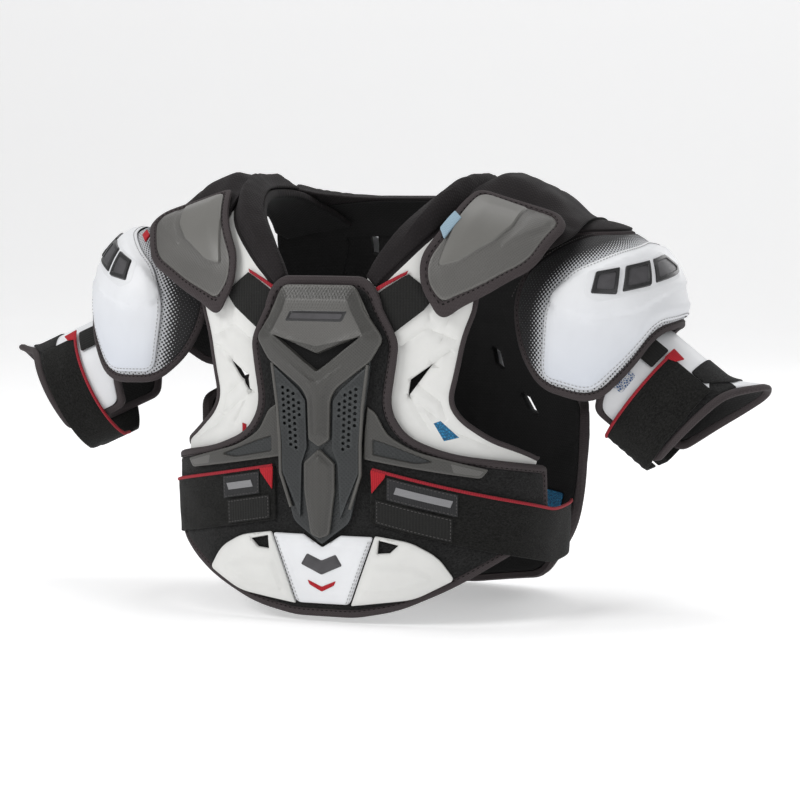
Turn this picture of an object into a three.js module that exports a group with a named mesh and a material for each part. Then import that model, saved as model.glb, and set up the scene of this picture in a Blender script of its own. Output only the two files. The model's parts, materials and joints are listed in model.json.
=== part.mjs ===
// Hockey shoulder pads: chest and back protector, collar, shoulder cups, bicep guards and straps.
// Millimetres. +X is the wearer's left, -Y the front, +Z up.
// The origin is where the pads rest on the shoulders: mid-line, at the underside of the shoulder arches.
import * as THREE from 'three';

// ---- driving dimensions ----------------------------------------------------------------------
const TORSO = { halfWidth: 169, halfDepth: 119, power: 2.6, archBase: -105, archLength: 300, archPower: 0.8 };
const BACK_HALF_WIDTH = 185;
const SLOPE = { drop: 42, span: 200, power: 2.2 };
const WAIST_TAPER = { share: 0.05, height: 290 };

// distances of each layer's inner and outer face from the torso form
const VEST = { inner: 0, outer: 9 };
const BACK_PANEL = { inner: 9.6, outer: 20.4 };
const BACK_SHELL = { inner: 21, outer: 25.5 };
const SPINE = { inner: 21, outer: 30 };
const COLLAR = { inner: 9.6, outer: 13, crown: 17, crownWidth: 13 };
const COLLAR_BACK = { inner: 9.6, outer: 12, crown: 9, crownWidth: 10 };
const ELASTIC = { inner: 9.6, outer: 11.4 };
const FRONT_PANEL = { inner: 12, outer: 17.6 };
const PLATE_BASE = { inner: 18.2, outer: 22 };
const PLATE_RAISED = { inner: 22.5, outer: 28 };
const SIDE_PLATE = { inner: 22.5, outer: 25.5 };
const WING = { inner: 18.2, outer: 22.5 };
const BELLY = { inner: 18.2, outer: 22.5 };
const STRAP = { inner: 18.5, outer: 21, width: 50 };
const LABEL = { inner: 21.5, outer: 22.4 };

const BINDING = 8;
const SEAM_GAP = 0.7;
const STRAP_START = 45;
const STRAP_BEND = 215;
const STRAP_END = { right: { top: 279, bottom: 290.5 }, left: { top: 283, bottom: 297 } };
const STRAP_HEIGHT = -168;
const LABEL_END = { right: 97, left: 118 };
const STRAP_SLOPE = { right: 0.19, left: 0.257 };

const YOKE = {
  innerX: 105, outerX: 212, centreY: [2, 18], centreZ: [-105, -118], radiusZ: [107, 88], radiusY: [112, 103],
  power: 0.88, arcRadius: 95,
};
const YOKE_LAYER = { inner: 3, outer: 8.4 };
const YOKE_CROWN = 9;
const CAP_LAYER = { inner: 9.6, outer: 15 };
const CAP_HINGE = { from: [122, -41], to: [196, -45] };

const CUP = { centre: [208, 20, -115], radius: 85, depth: 93, girthRadius: 90, flareIn: 0.10, skirt: 85 };
const CUP_LINER = { inner: -13, outer: -6.4 };
const CUP_SHELL = { inner: -5, outer: -0.4 };
const CUP_PLATE = { inner: 0.2, outer: 3 };
const CUP_BADGE = { inner: 3.5, outer: 5 };
const CUP_REST = { right: 14, left: 0 };

const GUARD = { radius: 57, flare: 22, flareStart: 28, flareLength: 42, flareSpread: 42 };
const GUARD_AT = {
  right: {
    centre: [-305, 16, -195], droop: 25, sweep: -8, flareAt: -40, underside: -0.92, front: 28, strap: 22,
  },
  left: {
    centre: [274, 20, -197], droop: 38, sweep: 0, flareAt: -35, underside: -0.75, front: 40, strap: 33,
  },
};
const GUARD_SHELL = { inner: -3.4, outer: 1.6 };
const GUARD_STRAP = { inner: 2.9, outer: 5.2 };
const GUARD_TAB = { inner: 2.9, outer: 4.9 };

const COLOUR = {
  white: 0xe8e9ea, black: 0x1d1c1d, binding: 0x5a5253, fabric: 0x3c393a, grey: 0x62615c, steel: 0x45484a,
  strap: 0x2b2b2a, red: 0xc02a3e, liner: 0x232323, label: 0x353537, mesh: 0x77777a,
};
const MATT = 0.95;
const SATIN = 0.55;

// ---- small helpers ---------------------------------------------------------------------------
const pads = new THREE.Group();
pads.name = 'hockey_shoulder_pads';

const add = (a, b) => a.map((value, i) => value + b[i]);
const scale = (a, k) => a.map((value) => value * k);
const mix = (a, b, t) => a + (b - a) * t;
const clamp = (value, low, high) => Math.min(Math.max(value, low), high);
const radians = THREE.MathUtils.degToRad;
const signedPower = (value, power) => Math.sign(value) * Math.abs(value) ** power;
const smooth = (t) => THREE.MathUtils.smoothstep(t, 0, 1);
const steps = (from, to, by) => {
  const count = Math.round((to - from) / by) + 1;
  return Array.from({ length: count }, (_, i) => from + i * by);
};
const mirrored = (outline) => outline.map(([u, ...rest]) => [-u, ...rest]).reverse();
const symmetric = (half) => [...half, ...mirrored(half)];

const PLUS = { left: 1, right: -1 };
const sided = (side, outline) => (side === 'left' ? outline : mirrored(outline));

function material(colour, roughness = 0.75, metalness = 0) {
  return new THREE.MeshStandardMaterial({ color: colour, roughness, metalness });
}

// A corner given as [u, w, radius] is rounded by a short curve between its two edges.
function rounded(corners) {
  const points = [];
  corners.forEach(([u, w, radius = 0], i) => {
    const corner = new THREE.Vector2(u, w);
    if (radius === 0) {
      points.push([u, w]);
      return;
    }
    const ends = [corners.at(i - 1), corners[(i + 1) % corners.length]].map(([x, y]) => {
      const edge = new THREE.Vector2(x, y).sub(corner);
      return corner.clone().add(edge.setLength(Math.min(radius, edge.length() * 0.45)));
    });
    const curve = new THREE.QuadraticBezierCurve(ends[0], corner, ends[1]);
    curve.getPoints(radius > 12 ? 3 : 2).forEach((point) => points.push([point.x, point.y]));
  });
  return points;
}

// The same corners drawn in by a distance.
function inset(corners, distance) {
  const turn = Math.sign(THREE.ShapeUtils.area(corners.map(([x, y]) => new THREE.Vector2(x, y))));
  return corners.map((point, i) => {
    const [before, after] = [corners.at(i - 1), corners[(i + 1) % corners.length]];
    const inwards = [[before, point], [point, after]].map(([a, b]) => {
      const along = new THREE.Vector2(b[0] - a[0], b[1] - a[1]).normalize();
      return new THREE.Vector2(-along.y * turn, along.x * turn);
    });
    const bisector = inwards[0].clone().add(inwards[1]).normalize();
    const reach = distance / bisector.dot(inwards[0]);
    return [point[0] + bisector.x * reach, point[1] + bisector.y * reach, point[2] ?? 0];
  });
}

const withinBinding = (outline) => inset(outline, BINDING + SEAM_GAP);

// A band along a middle line, with its own half width at each point.
function band(middle, halfWidths) {
  const sides = [1, -1].map((sign) => middle.map(([u, w], i) => {
    const a = middle[Math.max(i - 1, 0)];
    const b = middle[Math.min(i + 1, middle.length - 1)];
    const along = new THREE.Vector2(b[0] - a[0], b[1] - a[1]).normalize();
    return [u + sign * along.y * halfWidths[i], w - sign * along.x * halfWidths[i]];
  }));
  return [...sides[0], ...sides[1].reverse()];
}

function splineThrough(points, count) {
  const curve = new THREE.SplineCurve(points.map(([u, w]) => new THREE.Vector2(u, w)));
  return curve.getPoints(count).map((point) => [point.x, point.y]);
}

// ---- forms: curved surfaces with two coordinates and a distance out from them ------------------
function superellipse(halfWidth, halfDepth, power) {
  const count = 720;
  const at = (angle) => [
    halfWidth * signedPower(Math.sin(angle), 2 / power),
    -halfDepth * signedPower(Math.cos(angle), 2 / power),
  ];
  const lengths = [0];
  for (let i = 1; i <= count; i += 1) {
    const [a, b] = [at(((i - 1) * Math.PI) / 2 / count), at((i * Math.PI) / 2 / count)];
    lengths.push(lengths[i - 1] + Math.hypot(b[0] - a[0], b[1] - a[1]));
  }
  const quarter = lengths[count];
  const angleAt = (length) => {
    const turns = Math.floor(Math.abs(length) / quarter);
    const rest = Math.abs(length) - turns * quarter;
    const wanted = turns % 2 === 0 ? rest : quarter - rest;
    let i = lengths.findIndex((value) => value > wanted);
    if (i < 1) i = i < 0 ? count : 1;
    const part = (wanted - lengths[i - 1]) / (lengths[i] - lengths[i - 1]);
    const inQuarter = ((i - 1 + part) * Math.PI) / 2 / count;
    const before = turns * (Math.PI / 2);
    const angle = turns % 2 === 0 ? before + inQuarter : before + Math.PI / 2 - inQuarter;
    return Math.sign(length) * angle;
  };
  return (length) => at(angleAt(length));
}

const waist = (z) => 1 - WAIST_TAPER.share * clamp((TORSO.archBase - z) / WAIST_TAPER.height, 0, 1) ** 2;

function offsetFrom(surface, flip = 1) {
  const h = 0.5;
  return (u, w, off) => {
    const [a, b, c, d] = [surface(u + h, w), surface(u - h, w), surface(u, w + h), surface(u, w - h)]
      .map((p) => new THREE.Vector3(...p));
    const normal = a.sub(b).cross(c.sub(d)).normalize();
    return add(surface(u, w), scale(normal.toArray(), off * flip));
  };
}

// u runs sideways from the mid-line, w runs up the front, over the shoulder and down the back.
function torsoForm(halfWidth) {
  const girth = superellipse(halfWidth, TORSO.halfDepth, TORSO.power);
  const surface = (u, w) => {
    const [x, front] = girth(u);
    const angle = clamp(w / TORSO.archLength, 0, 1) * Math.PI;
    const top = -SLOPE.drop * (Math.abs(x) / SLOPE.span) ** SLOPE.power;
    const rise = Math.abs(Math.sin(angle)) ** TORSO.archPower;
    const below = Math.min(w, 0) - Math.max(w - TORSO.archLength, 0);
    const z = TORSO.archBase + (top - TORSO.archBase) * rise + below;
    return [x * waist(z), front * signedPower(Math.cos(angle), TORSO.archPower) * waist(z), z];
  };
  const wLines = [...steps(-300, -20, 70), ...steps(0, 300, 18.75), ...steps(370, 590, 70)];
  return { at: offsetFrom(surface), uLines: steps(-252, 252, 18), wLines };
}

const torso = torsoForm(TORSO.halfWidth);
const rear = torsoForm(BACK_HALF_WIDTH);

// The belt line of the torso: u runs round the body from the front mid-line, w is height.
function beltForm() {
  const girth = superellipse(TORSO.halfWidth, TORSO.halfDepth, TORSO.power);
  const surface = (u, w) => {
    const [x, y] = girth(u);
    const z = TORSO.archBase + w;
    return [x * waist(z), y * waist(z), z];
  };
  return { at: offsetFrom(surface), uLines: steps(-342, 342, 18), wLines: [] };
}

const belt = beltForm();

// The shoulder yoke is an arch whose axis runs sideways: u is x, w the arc from the crest, forward negative.
const yoke = {
  at: (x, arc, off) => {
    const t = (Math.abs(x) - YOKE.innerX) / (YOKE.outerX - YOKE.innerX);
    const angle = arc / YOKE.arcRadius;
    const depth = (mix(...YOKE.radiusY, t) + off) * signedPower(Math.sin(angle), YOKE.power);
    const height = (mix(...YOKE.radiusZ, t) + off) * signedPower(Math.cos(angle), YOKE.power);
    return [x, mix(...YOKE.centreY, t) + depth, mix(...YOKE.centreZ, t) + height];
  },
  uLines: steps(-240, 240, 40),
  wLines: steps(-180, 180, 15),
};

// A cup is a dome over a skirt. u runs round it from its outermost line, backward positive; w is up.
function cupForm(side) {
  const lift = radians(CUP_REST[side]);
  const at = (u, w, off) => {
    const azimuth = u / CUP.girthRadius;
    const elevation = clamp(w / CUP.radius, 0, Math.PI / 2);
    const pull = (1 - CUP.flareIn * (Math.min(w, 0) / CUP.skirt) ** 2) * Math.cos(elevation);
    const x = (CUP.radius + off) * Math.cos(azimuth) * pull;
    const y = (CUP.depth + off) * Math.sin(azimuth) * pull;
    const z = w < 0 ? w : (CUP.radius + off) * Math.sin(elevation);
    const out = x * Math.cos(lift) - z * Math.sin(lift) + CUP.centre[0];
    return [PLUS[side] * out, y + CUP.centre[1], x * Math.sin(lift) + z * Math.cos(lift) + CUP.centre[2]];
  };
  return { at, uLines: steps(-209, 209, 19), wLines: [-40, ...steps(0, 120, 17)] };
}

// A guard is an open tube round the upper arm. u runs round it from its top, backward negative; w is outward.
function guardAxis(side) {
  const droop = radians(GUARD_AT[side].droop);
  const sweep = radians(GUARD_AT[side].sweep);
  const out = [PLUS[side] * Math.cos(sweep), Math.sin(sweep), 0];
  const front = [PLUS[side] * Math.sin(sweep), -Math.cos(sweep), 0];
  const along = add(scale(out, Math.cos(droop)), [0, 0, -Math.sin(droop)]);
  const top = add(scale(out, Math.sin(droop)), [0, 0, Math.cos(droop)]);
  return { along, top, front };
}

function guardForm(side) {
  const { along, top, front } = guardAxis(side);
  const surface = (u, w) => {
    const angle = u / GUARD.radius;
    const spread = (THREE.MathUtils.radToDeg(angle) - GUARD_AT[side].flareAt) / GUARD.flareSpread;
    const grown = smooth((w - GUARD.flareStart) / GUARD.flareLength);
    const flare = GUARD.flare * grown * Math.exp(-spread * spread);
    const upward = Math.max(Math.cos(angle), GUARD_AT[side].underside);
    const across = add(scale(top, upward), scale(front, Math.sin(angle)));
    return add(add(GUARD_AT[side].centre, scale(along, w)), scale(across, GUARD.radius + flare));
  };
  return { at: offsetFrom(surface, PLUS[side]), uLines: steps(-247, 247, 19), wLines: [0, 28, 42, 56] };
}

// ---- slabs: a flat outline laid on a form and given a thickness ---------------------------------
function clipTo(polygon, axis, limit, keepBelow) {
  const inside = (point) => (keepBelow ? point[axis] <= limit : point[axis] >= limit);
  const kept = [];
  polygon.forEach((point, i) => {
    const next = polygon[(i + 1) % polygon.length];
    if (inside(point)) kept.push(point);
    if (inside(point) !== inside(next)) {
      const share = (limit - point[axis]) / (next[axis] - point[axis]);
      kept.push([mix(point[0], next[0], share), mix(point[1], next[1], share)]);
    }
  });
  return kept;
}

function splitAt(triangles, axis, lines) {
  return triangles.flatMap((triangle) => {
    const low = Math.min(...triangle.map((point) => point[axis]));
    const high = Math.max(...triangle.map((point) => point[axis]));
    const limits = [-Infinity, ...lines.filter((line) => line > low && line < high), Infinity];
    return limits.slice(1).flatMap((limit, i) => {
      const piece = clipTo(clipTo(triangle, axis, limits[i], false), axis, limit, true);
      return piece.slice(2).map((point, k) => [piece[0], piece[k + 1], point]);
    });
  });
}

const edgesOf = (face) => face.map((corner, i) => [corner, face[(i + 1) % face.length]]);

// The directed edges of a set of faces that no other face of the set shares.
function openEdges(faces) {
  const edges = new Map(faces.flatMap(edgesOf).map(([a, b]) => [`${a}>${b}`, [a, b]]));
  return [...edges.values()].filter(([a, b]) => !edges.has(`${b}>${a}`));
}

function loopsOf(faces) {
  const next = new Map(openEdges(faces));
  const loops = [];
  while (next.size > 0) {
    const loop = [];
    let corner = next.keys().next().value;
    while (next.has(corner)) {
      const following = next.get(corner);
      next.delete(corner);
      loop.push(corner);
      corner = following;
    }
    loops.push(loop);
  }
  return loops;
}

const turnOf = ([ax, ay], [bx, by], [cx, cy]) => (bx - ax) * (cy - ay) - (by - ay) * (cx - ax);

// Ear clipping that always takes the widest ear and keeps every corner.
function triangulate(loop, points) {
  const rest = [...loop];
  const faces = [];
  while (rest.length > 3) {
    const ears = rest.map((corner, i) => {
      const [a, c] = [rest.at(i - 1), rest[(i + 1) % rest.length]];
      const [pa, pb, pc] = [points[a], points[corner], points[c]];
      const area = turnOf(pa, pb, pc);
      const blocked = rest.some((other) => other !== a && other !== corner && other !== c
        && turnOf(pa, pb, points[other]) >= 0 && turnOf(pb, pc, points[other]) >= 0
        && turnOf(pc, pa, points[other]) >= 0);
      const longest = Math.max(Math.hypot(pa[0] - pc[0], pa[1] - pc[1]), 1e-9);
      return { i, face: [a, corner, c], width: blocked ? -1 : area / longest };
    });
    const best = ears.reduce((a, b) => (b.width > a.width ? b : a));
    faces.push(best.face);
    rest.splice(best.i, 1);
  }
  faces.push(rest);
  return faces;
}

// Cuts a flat outline along a form's lines, so that the faces bend only there.
function meshFlat(form, border, holes) {
  const asVectors = (list) => list.map(([u, w]) => new THREE.Vector2(u, w));
  const corners = [border, ...holes].flat();
  const flat = THREE.ShapeUtils.triangulateShape(asVectors(border), holes.map(asVectors))
    .map((face) => face.map((index) => corners[index]));
  const places = new Map();
  const indexOf = ([u, w]) => {
    const key = `${Math.round(u * 1e4)},${Math.round(w * 1e4)}`;
    if (!places.has(key)) places.set(key, { index: places.size, point: [u, w] });
    return places.get(key).index;
  };
  const cells = new Map();
  splitAt(splitAt(flat, 0, form.uLines), 1, form.wLines).forEach((triangle) => {
    const face = triangle.map(indexOf);
    if (new Set(face).size < 3) return;
    const [u, w] = [0, 1].map((axis) => (triangle[0][axis] + triangle[1][axis] + triangle[2][axis]) / 3);
    const column = form.uLines.filter((line) => line < u).length;
    const row = form.wLines.filter((line) => line < w).length;
    const key = `${column},${row}`;
    cells.set(key, [...(cells.get(key) ?? []), face]);
  });
  const points = [...places.values()].map(({ point }) => point);
  const rim = new Set(openEdges([...cells.values()].flat()).flat());
  const onLine = (value, lines) => lines.some((line) => Math.abs(line - value) < 1e-4);
  const crossing = ([u, w]) => onLine(u, form.uLines) && onLine(w, form.wLines);
  const needed = (i) => rim.has(i) || crossing(points[i]);
  const faces = [...cells.values()].flatMap((cell) => {
    const loops = loopsOf(cell).map((loop) => loop.filter(needed)).filter((loop) => loop.length > 2);
    const vectors = (loop) => loop.map((i) => new THREE.Vector2(...points[i]));
    const turning = (sign) => loops.filter((loop) => sign * THREE.ShapeUtils.area(vectors(loop)) > 0);
    const [outer, inner] = [turning(1), turning(-1)];
    if (inner.length === 0) return outer.flatMap((loop) => triangulate(loop, points));
    const ring = [...outer, ...inner].flat();
    return THREE.ShapeUtils.triangulateShape(vectors(outer[0]), inner.map(vectors))
      .map((face) => face.map((index) => ring[index]));
  });
  return { points, faces };
}

function edgeDistance(u, w, outline) {
  return Math.min(...outline.map(([ax, ay], i) => {
    const [bx, by] = outline[(i + 1) % outline.length];
    const [dx, dy] = [bx - ax, by - ay];
    const t = clamp(((u - ax) * dx + (w - ay) * dy) / (dx * dx + dy * dy), 0, 1);
    return Math.hypot(u - ax - dx * t, w - ay - dy * t);
  }));
}

function slabGeometry(form, outline, { inner, outer, crown = 0, crownWidth = 18, holes = [] }) {
  const area = (points) => THREE.ShapeUtils.area(points.map(([u, w]) => new THREE.Vector2(u, w)));
  const anticlockwise = (points) => (area(points) > 0 ? points : [...points].reverse());
  const border = anticlockwise(rounded(outline));
  const windows = holes.map((hole) => anticlockwise(rounded(hole)).reverse());
  const { points, faces } = meshFlat(form, border, windows);
  const count = points.length;
  const triangles = [...faces, ...faces.map(([a, b, c]) => [c + count, b + count, a + count])];
  openEdges(faces).forEach(([a, b]) => triangles.push([b, a, a + count], [b, a + count, b + count]));
  const swell = (u, w) => (typeof crown === 'function' ? crown(u, w) : crown);
  const height = ([u, w]) => outer + swell(u, w) * smooth(edgeDistance(u, w, border) / crownWidth);
  const positions = [
    ...points.map((point) => form.at(...point, crown === 0 ? outer : height(point))),
    ...points.map((point) => form.at(...point, inner)),
  ];
  return closedGeometry(positions, triangles);
}

// Keeps only the points in use, and turns the faces outward.
function closedGeometry(positions, triangles) {
  const used = [...new Set(triangles.flat())];
  const renumbered = new Map(used.map((old, index) => [old, index]));
  const corner = triangles.map((triangle) => triangle.map((index) => new THREE.Vector3(...positions[index])));
  const volume = corner.reduce((sum, [a, b, c]) => sum + a.dot(b.clone().cross(c)), 0);
  const outward = triangles.map(([a, b, c]) => (volume > 0 ? [a, b, c] : [c, b, a]));
  const geometry = new THREE.BufferGeometry();
  const kept = used.flatMap((old) => positions[old]);
  geometry.setAttribute('position', new THREE.Float32BufferAttribute(kept, 3));
  geometry.setIndex(outward.flat().map((old) => renumbered.get(old)));
  geometry.computeVertexNormals();
  return geometry;
}

function place(name, geometry, finish) {
  const mesh = new THREE.Mesh(geometry, finish);
  mesh.name = name;
  pads.add(mesh);
}

function slab(name, form, outline, layer, finish) {
  place(name, slabGeometry(form, outline, layer), finish);
}

function edging(name, form, outline, layer) {
  const ring = { ...layer, holes: [inset(outline, BINDING)] };
  slab(name, form, outline, ring, material(COLOUR.binding, 0.85));
}

// ---- chest ------------------------------------------------------------------------------------
const FRONT_OUTLINE = symmetric([
  [38, 17, 6], [50, 10, 8], [69, -29, 12], [67, -48, 10], [61, -90, 16], [76, -115, 16], [112, -130, 16],
  [206, -146, 6], [212, -202, 12], [156, -229, 16], [114, -253, 16], [70, -273, 16], [30, -281, 10],
]);
const COLLAR_LINE = splineThrough(
  [[49, 21], [56, 32], [71, 48], [90, 80], [106, 132], [108, 152], [104, 176]],
  16,
);
const COLLAR_WIDTHS = COLLAR_LINE.map((_, i) => mix(5.5, 14, smooth(i / 9)));

function frontPanel() {
  slab('front_panel', torso, withinBinding(FRONT_OUTLINE), FRONT_PANEL, material(COLOUR.black, MATT));
  edging('front_panel_binding', torso, FRONT_OUTLINE, FRONT_PANEL);
}

function sternumGuard() {
  const base = symmetric([[30, 5], [46, -30], [46, -49], [37, -122], [37, -150], [27, -193], [1, -213]]);
  slab('sternum_base', torso, base, PLATE_BASE, material(COLOUR.steel, SATIN));
  const shield = symmetric([
    [34, 11, 6], [58, -27, 6], [47, -47, 4], [16, -72, 6], [11, -82, 4], [10, -118], [1, -124],
  ]);
  const raised = { ...PLATE_RAISED, crown: 3, crownWidth: 20 };
  slab('sternum_shield', torso, shield, raised, material(COLOUR.grey, SATIN));
  const tongue = symmetric([[1, -127], [14.5, -139], [14.5, -165], [9, -204], [1, -207]]);
  slab('sternum_lower_plate', torso, tongue, PLATE_RAISED, material(COLOUR.grey, SATIN));
  for (const side of ['right', 'left']) {
    const plate = sided(side, [
      [43, -52], [36, -121], [36, -148], [19, -190], [17, -140], [12, -126], [13, -83], [19, -74],
    ]);
    slab(`sternum_side_plate_${side}`, torso, plate, SIDE_PLATE, material(COLOUR.steel, SATIN));
  }
}

function chestSide(side) {
  const collarInner = band(COLLAR_LINE, COLLAR_WIDTHS).slice(COLLAR_LINE.length).reverse();
  const armhole = [[138, 236], [138, 40], [134, 2], [123, -26], [117, -58], [111, -84], [121, -101],
    [148, -120], [178, -131], [205, -141]];
  const hem = [[196, -158], [60, -166], [38, -160], [38, 8]];
  const vest = [[62, 240], [128, 246], ...armhole, ...hem, ...collarInner, [84, 205]];
  const holes = [sided(side, [[97, -50], [78, -64], [76, -79]])];
  slab(`vest_${side}`, torso, sided(side, vest), { ...VEST, holes }, material(COLOUR.white, 0.6));

  const elastic = [[44, 4], [76, 20], [99, 6], [64, -22]];
  slab(`chest_elastic_${side}`, torso, sided(side, elastic), ELASTIC, material(COLOUR.strap, MATT));

  const collar = band(COLLAR_LINE, COLLAR_WIDTHS);
  slab(`collar_${side}`, torso, sided(side, collar), COLLAR, material(COLOUR.fabric, MATT));

  const wing = [
    [43, -88], [50, -93], [60, -113], [82, -127], [142, -144], [136, -152], [84, -143], [39.5, -135],
    [40.5, -112],
  ];
  slab(`wing_${side}`, torso, sided(side, wing), WING, material(COLOUR.grey, SATIN));
}

function bellyPad() {
  const centre = symmetric([[48, -205, 3], [26, -268, 5]]);
  const notch = { ...BELLY, crown: 1.5 };
  const underTongue = symmetric([[18, -205], [1, -216]]).reverse();
  const withNotch = [...centre, ...underTongue];
  slab('belly_pad_center', torso, withNotch, notch, material(COLOUR.white, SATIN));
  for (const side of ['right', 'left']) {
    const wrap = [[49.5, -204], [80, -209, 8], [103, -222, 10], [117, -243, 5], [84, -261, 10], [27, -269]];
    const window = [[53, -208], [70, -212], [63, -219], [52, -220]];
    const layer = { ...BELLY, holes: [sided(side, window)] };
    slab(`belly_pad_${side}`, torso, sided(side, wrap), layer, material(COLOUR.white, SATIN));
  }
}

// ---- body straps --------------------------------------------------------------------------------
function bodyStrap(side) {
  const drop = (u) => STRAP_HEIGHT - STRAP_SLOPE[side] * (Math.min(u, STRAP_BEND) - STRAP_START);
  const strip = (from, to, top, bottom) => [
    [from, drop(from) + top], [to, drop(to) + top], [to, drop(to) - bottom], [from, drop(from) - bottom],
  ];
  const half = STRAP.width / 2;
  const ends = STRAP_END[side];
  const low = drop(STRAP_BEND);
  const webbing = [
    [STRAP_START, drop(STRAP_START) + half], [STRAP_BEND, low + half], [ends.top, low + half],
    [ends.bottom, low - half], [STRAP_BEND, low - half], [STRAP_START, drop(STRAP_START) - half],
  ];
  slab(`body_strap_${side}`, belt, sided(side, webbing), STRAP, material(COLOUR.strap, MATT));
  slab(`strap_label_${side}`, belt, sided(side, strip(60, LABEL_END[side], 21, -1)), LABEL, material(COLOUR.label, 0.8));
  slab(`strap_pull_tab_${side}`, belt, sided(side, strip(47, 58, 24, -4)), LABEL, material(COLOUR.red, 0.85));
  const hooks = strip(50, LABEL_END[side] - 4, -1.5, 23);
  slab(`strap_hook_pad_${side}`, belt, sided(side, hooks), LABEL, material(COLOUR.black, MATT));
}

// ---- back ---------------------------------------------------------------------------------------
const BACK_OUTLINE = symmetric([
  [62, 237], [106, 240, 14], [132, 266, 14], [134, 330, 16], [156, 376, 18], [216, 398, 12],
  [217, 446, 14], [186, 514, 18], [140, 572, 14], [60, 584, 10],
]);

function back() {
  const slots = [-1, 1].flatMap((sign) => [
    [[20, 248], [26, 246], [26, 280], [20, 283]],
    [[96, 345], [103, 341], [99, 362], [93, 366]],
    [[124, 388], [132, 384], [128, 410], [120, 414]],
  ].map((slot) => slot.map(([u, w]) => [sign * u, w])));
  const panel = { ...BACK_PANEL, holes: slots };
  slab('back_panel', rear, withinBinding(BACK_OUTLINE), panel, material(COLOUR.liner, MATT));
  edging('back_panel_binding', rear, BACK_OUTLINE, BACK_PANEL);

  const neckPoints = [[-103, 182], [-86, 204], [-50, 219], [0, 223], [50, 219], [86, 204], [103, 182]];
  const neckLine = splineThrough(neckPoints, 14);
  const neck = band(neckLine, neckLine.map(() => 10));
  slab('collar_back', torso, neck, COLLAR_BACK, material(COLOUR.fabric, MATT));

  const spine = symmetric([[26, 290, 8], [34, 330, 8], [30, 430, 8], [20, 500, 8]]);
  slab('spine_guard', rear, spine, { ...SPINE, crown: 3 }, material(COLOUR.grey, SATIN));
  const lumbar = symmetric([[24, 508, 8], [120, 500, 14], [146, 540, 14], [120, 568, 12], [60, 574, 8]]);
  slab('back_lumbar_pad', rear, lumbar, BACK_SHELL, material(COLOUR.white, SATIN));
  for (const side of ['right', 'left']) {
    const blade = [[40, 262, 8], [88, 252, 14], [122, 270, 14], [124, 332, 14], [116, 376, 14], [42, 392, 8]];
    const layer = { ...BACK_SHELL, crown: 3 };
    slab(`back_shell_${side}`, rear, sided(side, blade), layer, material(COLOUR.white, SATIN));
  }
}

// ---- shoulders ----------------------------------------------------------------------------------
function shoulder(side) {
  const behindCap = (x, arc) => YOKE_CROWN * smooth((arc - CAP_HINGE.from[1]) / 30);
  const cover = [
    [125, -112], [190, -92, 14], [212, -62, 16], [214, 0], [212, 40, 16], [180, 66, 14], [125, 66],
  ];
  const padded = { ...YOKE_LAYER, crown: behindCap, crownWidth: 24 };
  slab(`shoulder_yoke_${side}`, yoke, sided(side, cover), padded, material(COLOUR.fabric, MATT));

  const cap = [
    [...CAP_HINGE.from, 10], [...CAP_HINGE.to, 12], [206, -62, 10], [187, -112, 14], [146, -139, 14],
    [108, -155, 8], [90, -140, 10], [88, -120, 10], [106, -90, 16],
  ];
  const domed = { ...CAP_LAYER, crown: 2 };
  slab(`clavicle_cap_${side}`, yoke, sided(side, withinBinding(cap)), domed, material(COLOUR.grey, SATIN));
  edging(`clavicle_cap_binding_${side}`, yoke, sided(side, cap), CAP_LAYER);
}

const CUP_OUTLINE = [
  [-192, 100], [-205, 40, 20], [-206, 0, 16], [-196, -34, 16], [-172, -64, 16], [-112, -78, 24],
  [-76, -48, 18], [-46, -15, 20], [8, -10, 20], [60, -18, 16], [100, -52, 18], [150, -68, 22],
  [190, -44, 16], [205, 0, 16],
  [205, 40, 20], [192, 100],
];

function cup(side) {
  const form = cupForm(side);
  const pad = [
    [-184, 96], [-190, 0, 16], [-176, -44, 16], [-120, -50, 18], [-70, -8, 16], [-40, 12, 10], [60, 12, 10],
    [110, -20, 16], [176, -36, 16], [190, 0, 16], [184, 96],
  ];
  slab(`cup_liner_${side}`, form, pad, CUP_LINER, material(COLOUR.liner, MATT));
  slab(`cup_shell_${side}`, form, withinBinding(CUP_OUTLINE), CUP_SHELL, material(COLOUR.mesh, 0.7));
  edging(`cup_binding_${side}`, form, CUP_OUTLINE, CUP_SHELL);
  const plate = [
    [-166, -54, 12], [-160, 14, 16], [-138, 44, 14], [-86, 64], [-17, 76, 10], [40, 70, 14], [84, 30, 16],
    [84, -24, 10], [56, -6, 10], [8, 0, 14], [-50, -4, 14], [-82, -36, 14], [-116, -66, 14],
  ];
  slab(`cup_plate_${side}`, form, plate, CUP_PLATE, material(COLOUR.white, 0.45));
  const badge = [[-124, 22, 4], [-120, 42, 4], [-20, 60, 4], [2, 44, 4], [-6, 34, 4], [-112, 14, 4]];
  slab(`cup_badge_${side}`, form, badge, CUP_BADGE, material(COLOUR.black, 0.4));
}

// ---- upper arms ---------------------------------------------------------------------------------
const guardOutline = ({ flareAt, front }) => [
  [127, -38, 10], [66, -58, 20], [-90, -58, 16], [-127, -44, 10], [-127, 36, 12], [flareAt - 46, 50, 16],
  [flareAt - 6, 68, 10], [flareAt + 22, 66, 12], [flareAt + 60, front + 8, 20], [84, front + 2, 18],
  [127, front - 2, 12],
];

const rectangle = (u0, u1, w0, w1) => [[u0, w0], [u1, w0], [u1, w1], [u0, w1]];

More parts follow.
